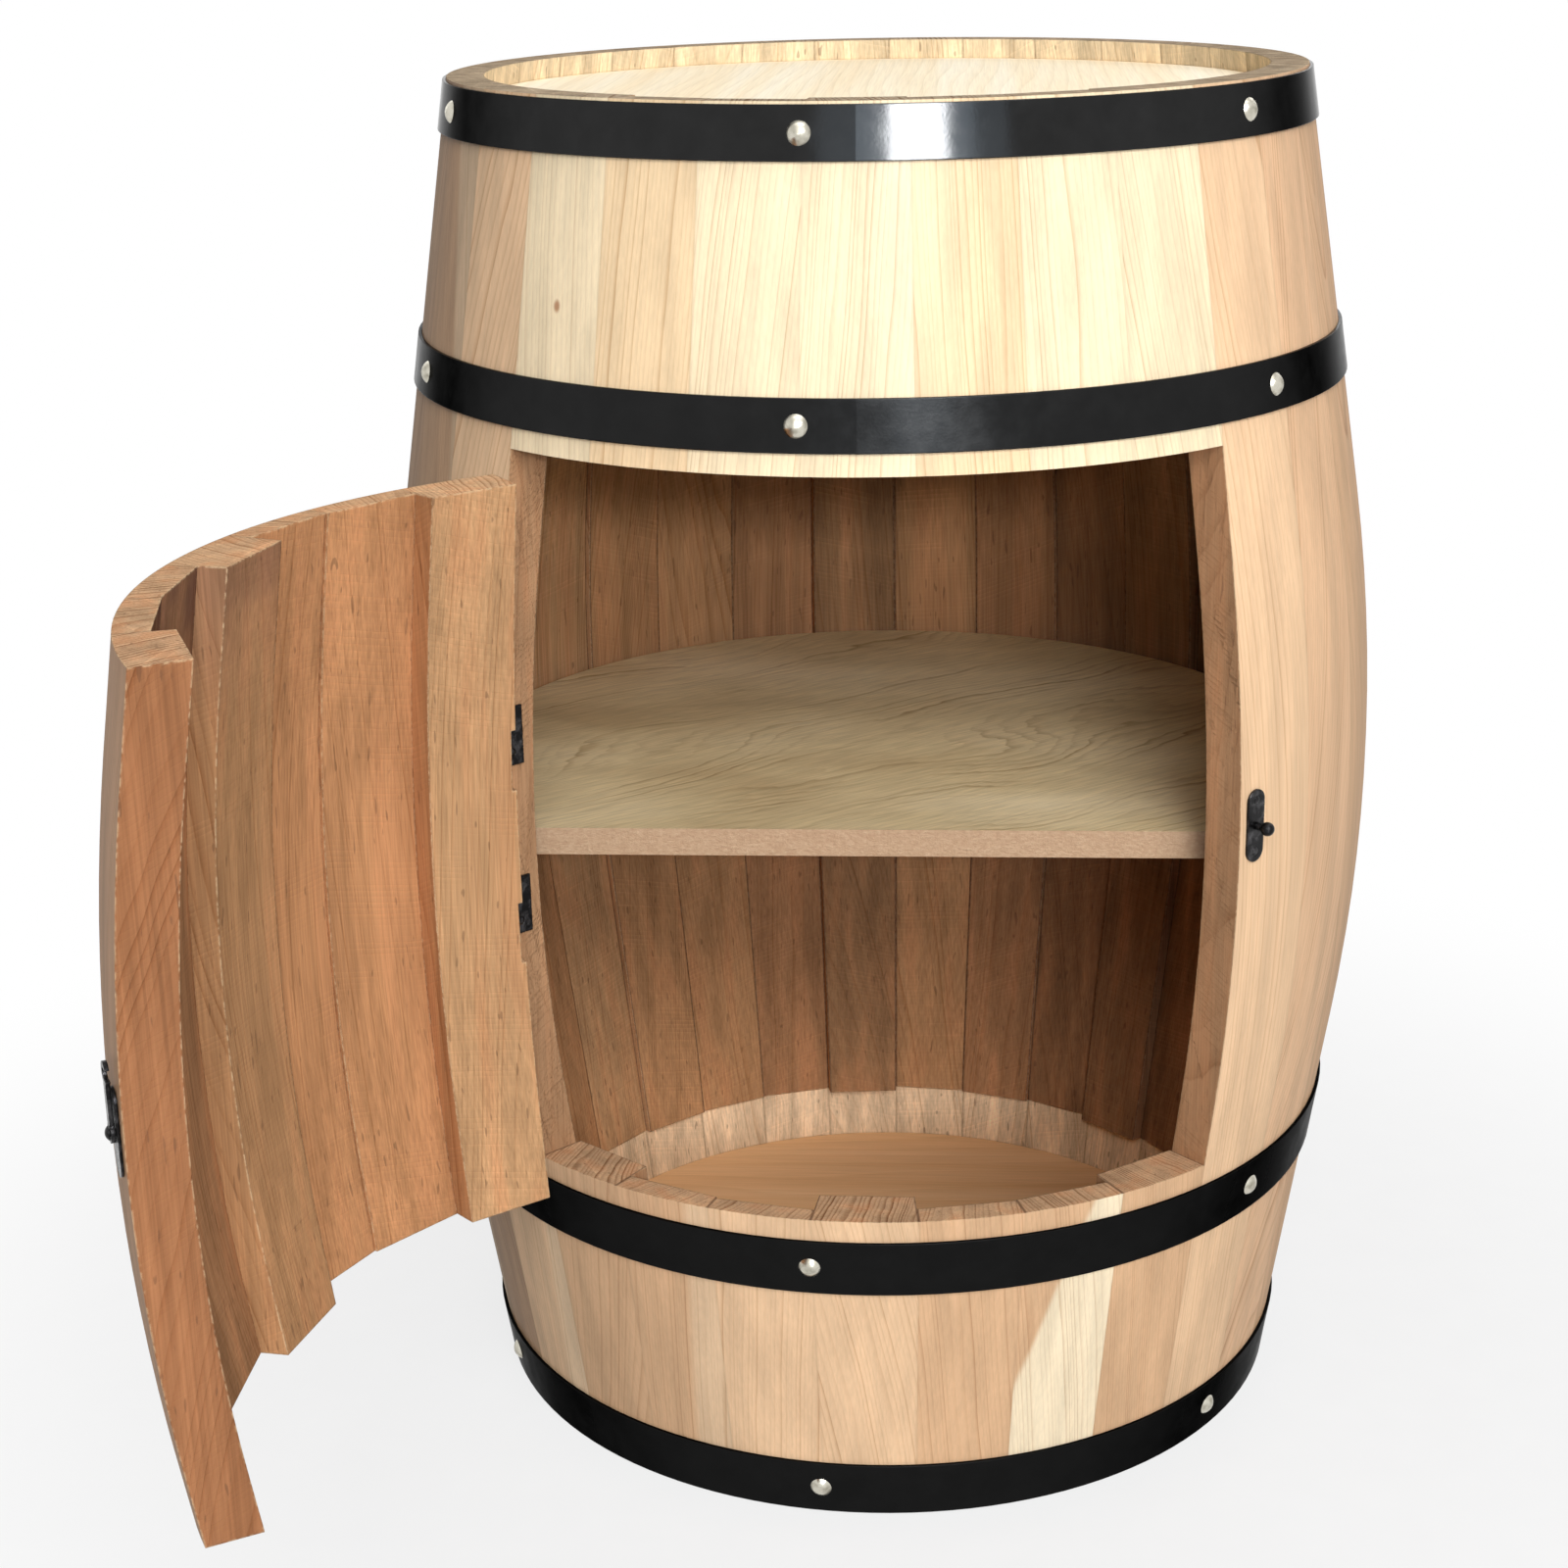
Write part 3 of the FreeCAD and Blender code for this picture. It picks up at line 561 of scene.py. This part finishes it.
def stave_place(t, seed, turned):
    """Where a point lies in its stave, and the chance numbers of that stave."""
    s = SimpleNamespace()
    place, s.facing = t.place(turned)
    s.x, s.y, s.z = t.split(place)
    s.away = t.length(s.x, s.y)
    angle = t.math("ARCTAN2", s.x, t.times(s.y, -1.0))
    s.number = t.math("ROUND", t.times(angle, 1 / STAVE_ANGLE))
    local = t.minus(angle, t.times(s.number, STAVE_ANGLE))
    s.across = t.times(s.away, t.math("SINE", local))
    s.depth = t.times(s.away, t.math("COSINE", local))
    s.high = t.minus(s.z, MIDDLE)
    s.luck_a, s.luck_b, s.luck_c = t.luck(t.add(s.number, seed))
    moved_across = t.add(s.across, t.times(s.luck_a, LUCK_ACROSS))
    moved_depth = t.add(s.depth, t.times(s.luck_b, LUCK_DEPTH))
    s.own = t.vector(moved_across, moved_depth, s.z)
    return s


def heart_distance(t, s):
    """Distance from the tree's heart, which lies inside the barrel and leans from stave to stave."""
    wander_place = t.vector(t.times(s.luck_c, WANDER_LUCK), t.times(s.number, WANDER_APART),
                            t.times(s.z, WANDER_RISE))
    wander = t.noise(wander_place, 1.0, 1.0)
    beside = t.minus(s.luck_a, 0.5)
    least = t.times(t.math("SIGN", beside), HEART_SIDE_LEAST)
    heart_across = t.add(t.times(beside, HEART_SIDE_SPREAD), least)
    heart_across = t.add(heart_across, t.times(s.high, t.spread(s.luck_c, HEART_SIDE_LEAN)))
    heart_across = t.add(heart_across, t.spread(wander, HEART_WANDER))
    heart_depth = t.minus(t.times(s.luck_b, HEART_DEPTH_SPREAD), HEART_DEPTH)
    heart_depth = t.add(heart_depth, t.times(s.high, t.spread(s.luck_b, HEART_DEPTH_LEAN)))
    depth_share = t.scaled(s.luck_c, DEPTH_SHARE_LEAST, DEPTH_SHARE_SPREAD)
    to_side = t.minus(s.across, heart_across)
    to_front = t.minus(t.times(s.depth, depth_share), heart_depth)
    return t.length(to_side, to_front)


def growth_rings(t, s):
    """Adds the late wood of the rings, thin for long grain and broad for sawn ends."""
    s.ring_radius = heart_distance(t, s)
    s.ripple = t.stretched(s.own, RIPPLE_SCALE, 1.0)
    spacing = t.scaled(s.luck_b, RING_LEAST, RING_SPREAD)
    ring = t.add(t.math("DIVIDE", s.ring_radius, spacing), t.times(s.ripple, RIPPLE_RINGS))
    decade_place = t.vector(t.times(s.ring_radius, DECADE_SCALE), t.times(s.number, DECADE_APART), 0.0)
    decade = t.noise(decade_place, 1.0, 1.0)
    ring = t.add(ring, t.times(decade, DECADE_RINGS))
    late = t.ramp(t.part(ring), greys(LATE_STOPS))
    year = t.luck(t.add(t.whole(ring), t.times(s.number, YEARS_APART)))[0]
    s.late = t.times(late, t.add(t.times(year, year), LATE_LEAST))
    s.broad = t.times(t.range(t.part(ring), *BROAD_RANGE), t.add(year, BROAD_LEAST))


def streaks(t, s):
    """Adds bands, fibres, flecks and clouds that run along the grain."""
    s.band = t.stretched(s.own, BAND_SCALE, 1.0)
    s.fibre = t.stretched(s.own, FIBRE_SCALE, 2.0, FIBRE_ROUGHNESS)
    s.fleck = t.stretched(s.own, FLECK_SCALE, 0.0)
    s.cloud = t.stretched(s.own, STAVE_CLOUD_SCALE, 3.0, STAVE_CLOUD_ROUGHNESS)


def faces(t, s):
    """Adds which way the surface looks: outer face, sawn end, flank or turned rebate."""
    away_from_axis = t.vector(t.math("DIVIDE", s.x, s.away), t.math("DIVIDE", s.y, s.away), 0.0)
    outward = t.vectors("DOT_PRODUCT", s.facing, away_from_axis)
    s.outside = t.range(outward, *OUTSIDE_RANGE)
    s.rough = t.minus(1.0, s.outside)
    s.end = t.range(t.size(t.split(s.facing)[2]), *END_RANGE)
    wall = t.range(t.size(outward), *WALL_RANGE)
    s.flank = t.math("SUBTRACT", 1.0, t.add(wall, s.end), clamp=True)
    s.turned_end = t.range(t.size(s.high),
                           REBATE_FROM_MIDDLE - REBATE_BLUR, REBATE_FROM_MIDDLE + REBATE_BLUR)


def stave_tone(t, s, tones):
    """The tone that a list gives to each stave."""
    share = t.times(t.add(s.number, STAVE_COUNT / 2), 1 / STAVE_COUNT)
    stops = [i / STAVE_COUNT for i in range(STAVE_COUNT)]
    return t.ramp(share, list(zip(stops, tones)), stepped=True)


def pale_wedge(t, s, colour):
    """Heartwood up to a slanting border on one stave, which leaves a wedge of pale sapwood."""
    border = t.add(t.times(t.minus(s.z, WEDGE_HEIGHT), WEDGE_SLOPE), WEDGE_ACROSS)
    border = t.add(border, t.spread(s.ripple, WEDGE_RIPPLE))
    heart = t.range(t.minus(border, s.across), *WEDGE_BLUR)
    return t.mix(t.times(heart, t.same(s.number, WEDGE_STAVE)), colour, TAN)


def plain_colour(t, s, tones, wedge):
    """Tones of the outer and inner faces, the turned rebates, the sawn ends and the flanks."""
    outer = stave_tone(t, s, tones.outer)
    inner = stave_tone(t, s, tones.inner)
    sap_edge = t.scaled(s.luck_a, SAP_EDGE_LEAST, SAP_EDGE_SPREAD)
    sappy = t.range(s.ring_radius, sap_edge, t.add(sap_edge, SAP_BLUR))
    outer = t.mix(t.times(sappy, SAP_SHARE), outer, SAP)
    if wedge:
        outer = pale_wedge(t, s, outer)
    turned_tone = t.mix(t.range(s.high, *FOOT_TO_TOP), TURNED, CREAM)
    inner = t.mix(t.times(s.turned_end, TURNED_SHARE), inner, turned_tone)
    # The sawn ends at the top turn darker: partly dark end grain, partly painted shade
    end_tone = t.mix(t.range(s.high, *TOP_END_HEIGHT_RANGE), SAWN_END, TOP_END_AND_SHADE)
    inner = t.mix(t.times(s.end, END_SHARE), inner, end_tone)
    colour = t.mix(s.outside, inner, outer)
    return t.mix(t.times(s.flank, tones.flank_share), colour, tones.flank)


def grained(t, s, colour, bold_end):
    """Late wood, ring patterns on the sawn ends and ruddy bands inside."""
    dark = t.tinted(colour, LATE_TINT)
    darkest = t.tinted(colour, END_TINT)
    late_share = t.between(s.outside, LATE_SHARE_INSIDE, LATE_SHARE_OUTSIDE)
    colour = t.mix(t.times(s.late, late_share), colour, dark)
    end_rings = t.scaled(s.luck_a, END_RINGS_LEAST, END_RINGS_SPREAD)
    if bold_end:
        end_rings = t.add(end_rings, t.times(t.same(s.number, BOLD_END_STAVE), BOLD_END_SHARE))
    colour = t.mix(t.times(t.times(s.broad, s.end), end_rings), colour, darkest)
    ruddy = t.times(t.range(s.band, *RUDDY_RANGE), t.minus(s.rough, t.times(s.turned_end, s.rough)))
    return t.mix(t.times(ruddy, RUDDY_SHARE), colour, RUDDY)


def stained_and_shaded(t, s, colour):
    """A dark stain on the middle stave at the top of the door's inside, and painted shade in the hollow over
    the two thin staves beside it.
    """
    blotch = t.range(t.noise(s.own, STAIN_AND_SHADE_SCALE, 2.0), *STAIN_AND_SHADE_BLOTCH_RANGE)
    where = t.times(t.range(s.high, *STAIN_AND_SHADE_HEIGHT_RANGE), t.times(s.rough, t.minus(1.0, s.end)))
    among = t.times(t.range(s.number, *STAIN_AND_SHADE_FIRST_STAVES), t.range(s.number, *STAIN_AND_SHADE_LAST_STAVES, 1.0, 0.0))
    share = t.times(where, t.times(among, t.scaled(blotch, STAIN_AND_SHADE_LEAST, STAIN_AND_SHADE_SPREAD)))
    # Darkens the top of the door's inside: painted shade over the thin staves, a stain on the middle stave
    return t.mix(share, colour, STAIN_AND_SHADE)


def saw_marks(t, s):
    """Adds strokes of the saw across the inside and the cut faces, in patches."""
    slant = t.spread(s.luck_b, SAW_SLANT)
    stroke = t.add(t.add(s.z, t.times(s.across, slant)), t.times(s.depth, SAW_DEPTH_SLANT))
    stroke = t.add(stroke, t.times(t.noise(s.own, SAW_WAVE_SCALE, 0.0), SAW_WAVE))
    stroke = t.times(stroke, 1 / SAW_STEP)
    cut = t.luck(t.whole(stroke))[0]
    marks = t.times(t.math("POWER", t.part(stroke), SAW_SHARPNESS), cut)
    patch = t.range(t.noise(s.own, SAW_PATCH_SCALE, 1.0), *SAW_PATCH_RANGE)
    s.marks = t.times(t.times(marks, patch), s.rough)


def streak_tone(t, s, value, span, inside, outside):
    """Turns a streak into a tone that is stronger on sawn faces than on the sanded outside."""
    darkest = t.between(s.outside, inside[0], outside[0])
    lightest = t.between(s.outside, inside[1], outside[1])
    return t.range(value, *span, darkest, lightest)


def streaked(t, s, colour):
    """Lighter and darker bands, fibres, clouds, saw strokes and flecks."""
    banding = streak_tone(t, s, s.band, BAND_RANGE, BAND_TONES_INSIDE, BAND_TONES_OUTSIDE)
    fibres = streak_tone(t, s, s.fibre, FIBRE_RANGE, FIBRE_TONES_INSIDE, FIBRE_TONES_OUTSIDE)
    clouding = streak_tone(t, s, s.cloud, STAVE_CLOUD_RANGE,
                           STAVE_CLOUD_TONES_INSIDE, STAVE_CLOUD_TONES_OUTSIDE)
    strokes = t.scaled(s.marks, SAW_TONE_LEAST, SAW_TONE_SPREAD)
    colour = t.toned(colour, t.times(t.times(t.times(banding, fibres), clouding), strokes))
    specks = t.times(t.range(s.fleck, *FLECK_RANGE), t.times(s.rough, FLECK_SHARE))
    return t.mix(specks, colour, SHADE)


def knotted(t, s, colour):
    """One small knot."""
    above = t.math("POWER", t.times(t.minus(s.high, KNOT_HEIGHT), KNOT_STRETCH), 2.0)
    from_knot = t.math("SQRT", t.add(t.times(s.across, s.across), above))
    core = t.range(from_knot, *KNOT_RANGE, KNOT_SHARE, 0.0)
    return t.mix(t.times(core, t.same(s.number, KNOT_STAVE)), colour, RUDDY)


def jointed(t, s, colour, joint_share):
    """Dark joints between the staves, and torn, pale edges where the saw came through."""
    half_width = t.times(s.depth, math.tan(STAVE_ANGLE / 2))
    from_joint = t.minus(half_width, t.size(s.across))
    joint = t.range(from_joint, *JOINT_RANGE, 1.0, 0.0)
    inner_share = t.between(s.turned_end, joint_share, TURNED_JOINT_SHARE)
    share = t.between(s.outside, inner_share, OUTER_JOINT_SHARE)
    joint = t.times(joint, t.times(t.minus(1.0, s.flank), share))
    colour = t.mix(joint, colour, SHADE)
    s.soft = t.rounded(EDGE_RADIUS)
    s.plain = t.nodes.new("ShaderNodeNewGeometry").outputs["Normal"]
    turning = t.math("SUBTRACT", 1.0, t.vectors("DOT_PRODUCT", s.soft, s.plain), clamp=True)
    close = t.range(turning, *EDGE_CLOSE_RANGE)
    torn = t.range(t.noise(s.own, TORN_SCALE, 1.0), *TORN_RANGE)
    ragged = t.times(t.times(close, torn), t.times(s.rough, t.minus(1.0, t.times(joint, TORN_JOINT_SHARE))))
    return t.mix(t.times(ragged, TORN_SHARE), colour, STRAW)


def stave_finish(t, s, colour):
    """A thin satin coat on the sanded outside, and bare sawn wood elsewhere."""
    gloss = t.between(s.outside, INNER_ROUGHNESS, OUTER_ROUGHNESS)
    height = t.add(t.times(s.fibre, FIBRE_HEIGHT), t.times(s.late, LATE_HEIGHT))
    height = t.times(height, t.between(s.rough, SANDED_HEIGHT_SHARE, 1.0))
    height = t.add(height, t.times(s.marks, SAW_HEIGHT))
    t.surface(Base_Color=colour,
              Roughness=t.add(gloss, t.spread(s.band, ROUGHNESS_SPREAD)),
              Specular_IOR_Level=0.0,
              Coat_Weight=t.times(s.outside, OUTER_COAT),
              Coat_Roughness=OUTER_COAT_ROUGHNESS,
              Normal=t.bump(height, STAVE_BUMP, t.blend(s.outside, s.soft, s.plain)))


def stave_wood(name, seed, tones, turned=False, bold_end=False, knot=False, wedge=False):
    """Wood of the staves: sanded outside, sawn inside, end grain at the ends."""
    t = Tree(name)
    s = stave_place(t, seed, turned)
    growth_rings(t, s)
    streaks(t, s)
    faces(t, s)
    saw_marks(t, s)
    colour = plain_colour(t, s, tones, wedge)
    colour = grained(t, s, colour, bold_end)
    # The door's inside also gets painted shade and a stain at its top
    if turned:
        colour = stained_and_shaded(t, s, colour)
    colour = streaked(t, s, colour)
    if knot:
        colour = knotted(t, s, colour)
    colour = jointed(t, s, colour, tones.joint_share)
    stave_finish(t, s, colour)
    return t.material


def barrel_tones(outer):
    return SimpleNamespace(outer=outer, inner=INNER_TONES, flank=JAMB, flank_share=FLANK_SHARE,
                           joint_share=JOINT_SHARE)


def door_tones():
    return SimpleNamespace(outer=front_only(DOOR_OUTER_FRONT_TONES, TAN),
                           inner=front_only(DOOR_INNER_FRONT_TONES, BROWN),
                           flank=OAT, flank_share=DOOR_FLANK_SHARE, joint_share=DOOR_JOINT_SHARE)


def board_wood(name, tones, ring_width, roughness, lines, crosswise=True):
    """Boards of the heads and cleats: straight grain along one level direction."""
    t = Tree(name)
    x, y, z = t.split(t.place()[0])
    if crosswise:
        x, y = y, x
    warp = t.level(x, y, BOARD_WARP_SCALE, z, 2.0)
    ring = t.add(t.times(x, 1 / ring_width), t.times(warp, BOARD_WARP_RINGS))
    late = t.ramp(t.part(ring), greys(BOARD_STOPS))
    fibre_level = t.times(z, BOARD_FIBRE_SCALE[0])
    fibre = t.level(x, y, BOARD_FIBRE_SCALE, fibre_level, 2.0, FIBRE_ROUGHNESS)
    band = t.level(x, y, BOARD_BAND_SCALE, z, 3.0)
    colour = t.ramp(band, list(zip(BOARD_TONE_STOPS, tones)))
    dark = t.tinted(colour, BOARD_LATE_TINT)
    colour = t.mix(t.times(late, lines), colour, dark)
    colour = t.toned(colour, t.range(fibre, *FIBRE_RANGE, *BOARD_FIBRE_TONES))
    height = t.add(t.times(fibre, BOARD_FIBRE_HEIGHT), t.times(late, BOARD_LATE_HEIGHT))
    t.surface(Base_Color=colour,
              Roughness=t.scaled(band, roughness, BOARD_ROUGHNESS_SPREAD),
              Specular_IOR_Level=0.0,
              Coat_Weight=BOARD_COAT,
              Coat_Roughness=BOARD_COAT_ROUGHNESS,
              Normal=t.bump(height, BOARD_BUMP))
    return t.material


def shelf_figure(t, along, across):
    """Flowing lines of a rotary-cut face, strong in some years and faded in places."""
    flow = t.level(along, across, FLOW_SCALE, 0.0, 1.0, 0.5, FLOW_DISTORTION)
    flame = t.level(along, across, FLAME_SCALE, FLAME_LEVEL, 2.0, FIBRE_ROUGHNESS)
    figure = t.add(t.times(flow, FLOW_LINES), t.times(flame, FLAME_LINES))
    figure = t.add(figure, t.times(across, FIGURE_SPACING))
    line = t.ramp(t.part(figure), greys(FIGURE_STOPS))
    year = t.luck(t.whole(figure))[0]
    fade = t.range(t.level(along, across, FADE_SCALE, FADE_LEVEL, 1.0), *FADE_RANGE)
    line = t.times(line, t.add(fade, FADE_LEAST))
    return t.times(line, t.add(t.times(year, year), LINE_LEAST))


def plywood(name):
    """Shelf: a rotary-cut face with flowing figure, and plies on its edges."""
    t = Tree(name)
    place, facing = t.place()
    x, y, z = t.split(place)
    along = t.add(t.times(x, FIGURE_COSINE), t.times(y, FIGURE_SINE))
    across = t.minus(t.times(y, FIGURE_COSINE), t.times(x, FIGURE_SINE))
    line = shelf_figure(t, along, across)
    fibre = t.level(along, across, PLY_FIBRE_SCALE, z, 2.0, FIBRE_ROUGHNESS)
    cloud = t.level(x, y, CLOUD_SCALE, CLOUD_LEVEL, 3.0)
    colour = t.ramp(cloud, CLOUD_TONES)
    dark = t.tinted(colour, LINE_TINT)
    colour = t.mix(t.times(line, LINE_SHARE), colour, dark)
    colour = t.toned(colour, t.range(fibre, *FIBRE_RANGE, *PLY_FIBRE_TONES))
    edge = t.range(t.size(t.split(facing)[2]), *PLY_EDGE_RANGE, 1.0, 0.0)
    fuzz_level = t.times(z, FUZZ_SCALE[2])
    fuzz = t.level(x, y, FUZZ_SCALE, fuzz_level, 3.0, FUZZ_ROUGHNESS)
    colour = t.mix(edge, colour, t.ramp(fuzz, FUZZ_TONES))
    height = t.add(t.times(fibre, PLY_FIBRE_HEIGHT), t.times(t.times(fuzz, edge), FUZZ_HEIGHT))
    t.surface(Base_Color=colour,
              Roughness=t.range(cloud, *CLOUD_RANGE, *PLY_ROUGHNESS),
              Specular_IOR_Level=PLY_GLOSS,
              Normal=t.bump(height, PLY_BUMP))
    return t.material


def black_steel(name, mirror, clean_roughness, dusty_roughness):
    """Hoops: blackened steel strip with soft, slightly wavy reflections."""
    t = Tree(name)
    place = t.place()[0]
    wave = t.stretched(place, STEEL_WAVE_SCALE, 1.0)
    grain = t.noise(place, STEEL_GRAIN_SCALE, 2.0)
    dust = t.noise(place, DUST_SCALE, DUST_DETAIL, DUST_ROUGHNESS)
    tones = greys(zip(DUST_STOPS, (mirror, mirror * DUST_BRIGHTENING)))
    height = t.add(wave, t.times(grain, STEEL_GRAIN_HEIGHT))
    t.surface(Base_Color=t.ramp(dust, tones),
              Roughness=t.range(dust, *DUST_RANGE, clean_roughness, dusty_roughness),
              Metallic=1.0,
              Specular_Tint=STEEL_RIM_TINT,
              Normal=t.bump(height, STEEL_BUMP, t.rounded(STEEL_EDGE)))
    return t.material


def nickel(name):
    """Rivets: hammered nickel domes."""
    t = Tree(name)
    place = t.place()[0]
    dent = t.noise(place, DENT_SCALE, 0.0)
    tarnish = t.noise(place, TARNISH_SCALE, 2.0)
    t.surface(Base_Color=t.ramp(tarnish, TARNISH_TONES),
              Roughness=t.range(tarnish, *TARNISH_RANGE, *NICKEL_ROUGHNESS),
              Metallic=1.0,
              Normal=t.bump(dent, DENT_BUMP))
    return t.material


def black_hardware(name):
    """Hinges and latch: antique black metal, rubbed brighter in patches."""
    t = Tree(name)
    place = t.place()[0]
    rub = t.noise(place, RUB_SCALE, RUB_DETAIL, RUB_ROUGHNESS)
    pit = t.noise(place, PIT_SCALE, 2.0)
    t.surface(Base_Color=t.ramp(rub, RUB_TONES),
              Roughness=t.range(rub, *RUB_RANGE, *HARDWARE_ROUGHNESS),
              Metallic=HARDWARE_METAL,
              Normal=t.bump(pit, PIT_BUMP, t.rounded(HARDWARE_EDGE)))
    return t.material


SIDE_WOOD = stave_wood("side_wood", BARREL_SEED, barrel_tones(SIDE_TONES))
DOOR_WOOD = stave_wood("door_wood", DOOR_SEED, door_tones(), turned=True)
# The lower hoops get a darker, duller copy of the steel: partly their finish, partly painted shade
SHADED_SATIN = black_steel("shaded_satin_hoop_steel", *SHADED_SATIN_STEEL)
HARDWARE = black_hardware("black_hardware")
LOWER_TONES = barrel_tones(front_only(LOWER_FRONT_TONES, TAN))
LOOKS = {
    "upper_front_staves": stave_wood("upper_wood", BARREL_SEED, barrel_tones(SIDE_TONES), knot=True),
    "lower_front_staves": stave_wood("lower_wood", LOWER_SEED, LOWER_TONES, bold_end=True, wedge=True),
    "top_head": board_wood("top_head_wood", TOP_TONES, TOP_RING, TOP_ROUGHNESS, TOP_LINES, crosswise=False),
    "bottom_head": board_wood("bottom_head_wood", BOTTOM_TONES, BOTTOM_RING, BOTTOM_ROUGHNESS, BOTTOM_LINES),
    "shelf_cleats": board_wood("cleat_wood", CLEAT_TONES, CLEAT_RING, CLEAT_ROUGHNESS, CLEAT_LINES),
    "shelf": plywood("shelf_plywood"),
    "hoop_rivets": nickel("rivet_nickel"),
    # The top hoops get brighter, glossier copies of the steel: partly their finish, partly painted
    # reflection
    "top_hoop": black_steel("lit_polished_hoop_steel", *LIT_POLISHED_STEEL),
    "upper_hoop": black_steel("half_lit_brushed_hoop_steel", *HALF_LIT_BRUSHED_STEEL),
}


def look_of(name):
    if name in LOOKS:
        return LOOKS[name]
    if name.startswith("side_stave"):
        return SIDE_WOOD
    if name.startswith("door_stave"):
        return DOOR_WOOD
    if name.endswith("hoop"):
        return SHADED_SATIN
    return HARDWARE


def camera():
    """The photo's camera: turned, tilted down and rolled a little."""
    ahead = Vector((math.sin(YAW) * math.cos(TILT), math.cos(YAW) * math.cos(TILT), -math.sin(TILT)))
    right = Vector((math.cos(YAW), -math.sin(YAW), 0))
    down = ahead.cross(right)
    image_right = math.cos(ROLL) * right + math.sin(ROLL) * down
    image_down = -math.sin(ROLL) * right + math.cos(ROLL) * down
    data = bpy.data.cameras.new("camera")
    data.lens = LENS
    data.sensor_width = SENSOR
    eye = bpy.data.objects.new("camera", data)
    matrix = Matrix((image_right, -image_down, -ahead)).transposed().to_4x4()
    matrix.translation = CAMERA_PLACE
    eye.matrix_world = matrix
    bpy.context.collection.objects.link(eye)
    bpy.context.scene.camera = eye


def lamp(name, place, aim, width, height, power, colour):
    """A rectangular lamp that looks at a point."""
    data = bpy.data.lights.new(name, "AREA")
    data.shape = "RECTANGLE"
    data.size = width
    data.size_y = height
    data.energy = power
    data.color = colour
    light = bpy.data.objects.new(name, data)
    light.location = place
    light.rotation_mode = "QUATERNION"
    light.rotation_quaternion = (Vector(aim) - Vector(place)).to_track_quat("-Z", "Y")
    bpy.context.collection.objects.link(light)


def seen_rays(nodes, links):
    """One for the camera's rays and for those that a gloss or glass sends on, zero for light."""
    path = nodes.new("ShaderNodeLightPath")
    total = path.outputs["Is Camera Ray"]
    for name in ("Is Glossy Ray", "Is Transmission Ray"):
        both = nodes.new("ShaderNodeMath")
        both.operation = "MAXIMUM"
        links.new(total, both.inputs[0])
        links.new(path.outputs[name], both.inputs[1])
        total = both.outputs[0]
    return total


def surroundings():
    """White to the camera and in reflections, softer as a light."""
    world = bpy.data.worlds.new("studio")
    bpy.context.scene.world = world
    world.use_nodes = True
    nodes = world.node_tree.nodes
    links = world.node_tree.links
    nodes["Background"].inputs["Color"].default_value = (*WHITE, 1)
    strength = nodes.new("ShaderNodeMapRange")
    strength.inputs["To Min"].default_value = WORLD_LIGHT
    strength.inputs["To Max"].default_value = 1.0
    links.new(seen_rays(nodes, links), strength.inputs["Value"])
    links.new(strength.outputs[0], nodes["Background"].inputs["Strength"])


def floor_mesh():
    """A round floor of rings that grow wider further out."""
    points = [(0, 0, 0)]
    panels = []
    for ring in range(1, FLOOR_RINGS + 1):
        radius = FLOOR_REACH * (ring / FLOOR_RINGS) ** 2
        for spoke in range(FLOOR_SPOKES):
            turn = 2 * math.pi * spoke / FLOOR_SPOKES
            points.append((radius * math.sin(turn), radius * math.cos(turn), 0))
    for spoke in range(FLOOR_SPOKES):
        after = (spoke + 1) % FLOOR_SPOKES
        panels.append((0, 1 + after, 1 + spoke))
        for ring in range(FLOOR_RINGS - 1):
            low = 1 + ring * FLOOR_SPOKES
            high = low + FLOOR_SPOKES
            panels.append((low + spoke, low + after, high + after, high + spoke))
    mesh = bpy.data.meshes.new("floor")
    mesh.from_pydata(points, [], panels)
    return mesh


def floor_white():
    """Pale floor that keeps the shadow and fades to white further out."""
    t = Tree("floor_white")
    place = t.place()[0]
    x, y = t.split(place)[:2]
    speckle = t.noise(place, FLOOR_SPECKLE_SCALE, FLOOR_DETAIL)
    t.surface(Base_Color=t.ramp(speckle, FLOOR_TONES),
              Roughness=FLOOR_ROUGHNESS,
              Specular_IOR_Level=FLOOR_GLOSS)
    white = t.nodes.new("ShaderNodeEmission")
    fade = t.range(t.length(x, y), *FLOOR_FADE_RANGE, FLOOR_NEAR_WHITE, 1.0)
    blend = t.nodes.new("ShaderNodeMixShader")
    t.put(blend.inputs[0], t.times(fade, seen_rays(t.nodes, t.links)))
    t.links.new(t.shader.outputs[0], blend.inputs[1])
    t.links.new(white.outputs[0], blend.inputs[2])
    t.links.new(blend.outputs[0], t.nodes["Material Output"].inputs["Surface"])
    return t.material


def floor():
    mesh = floor_mesh()
    mesh.materials.append(floor_white())
    ground = bpy.data.objects.new("floor", mesh)
    bpy.context.collection.objects.link(ground)


for name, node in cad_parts.items():
    node.data.materials.clear()
    node.data.materials.append(look_of(name))

camera()
surroundings()
floor()
for name, facts in LAMPS.items():
    lamp(name, *facts)

bpy.context.scene.view_settings.view_transform = "Standard"
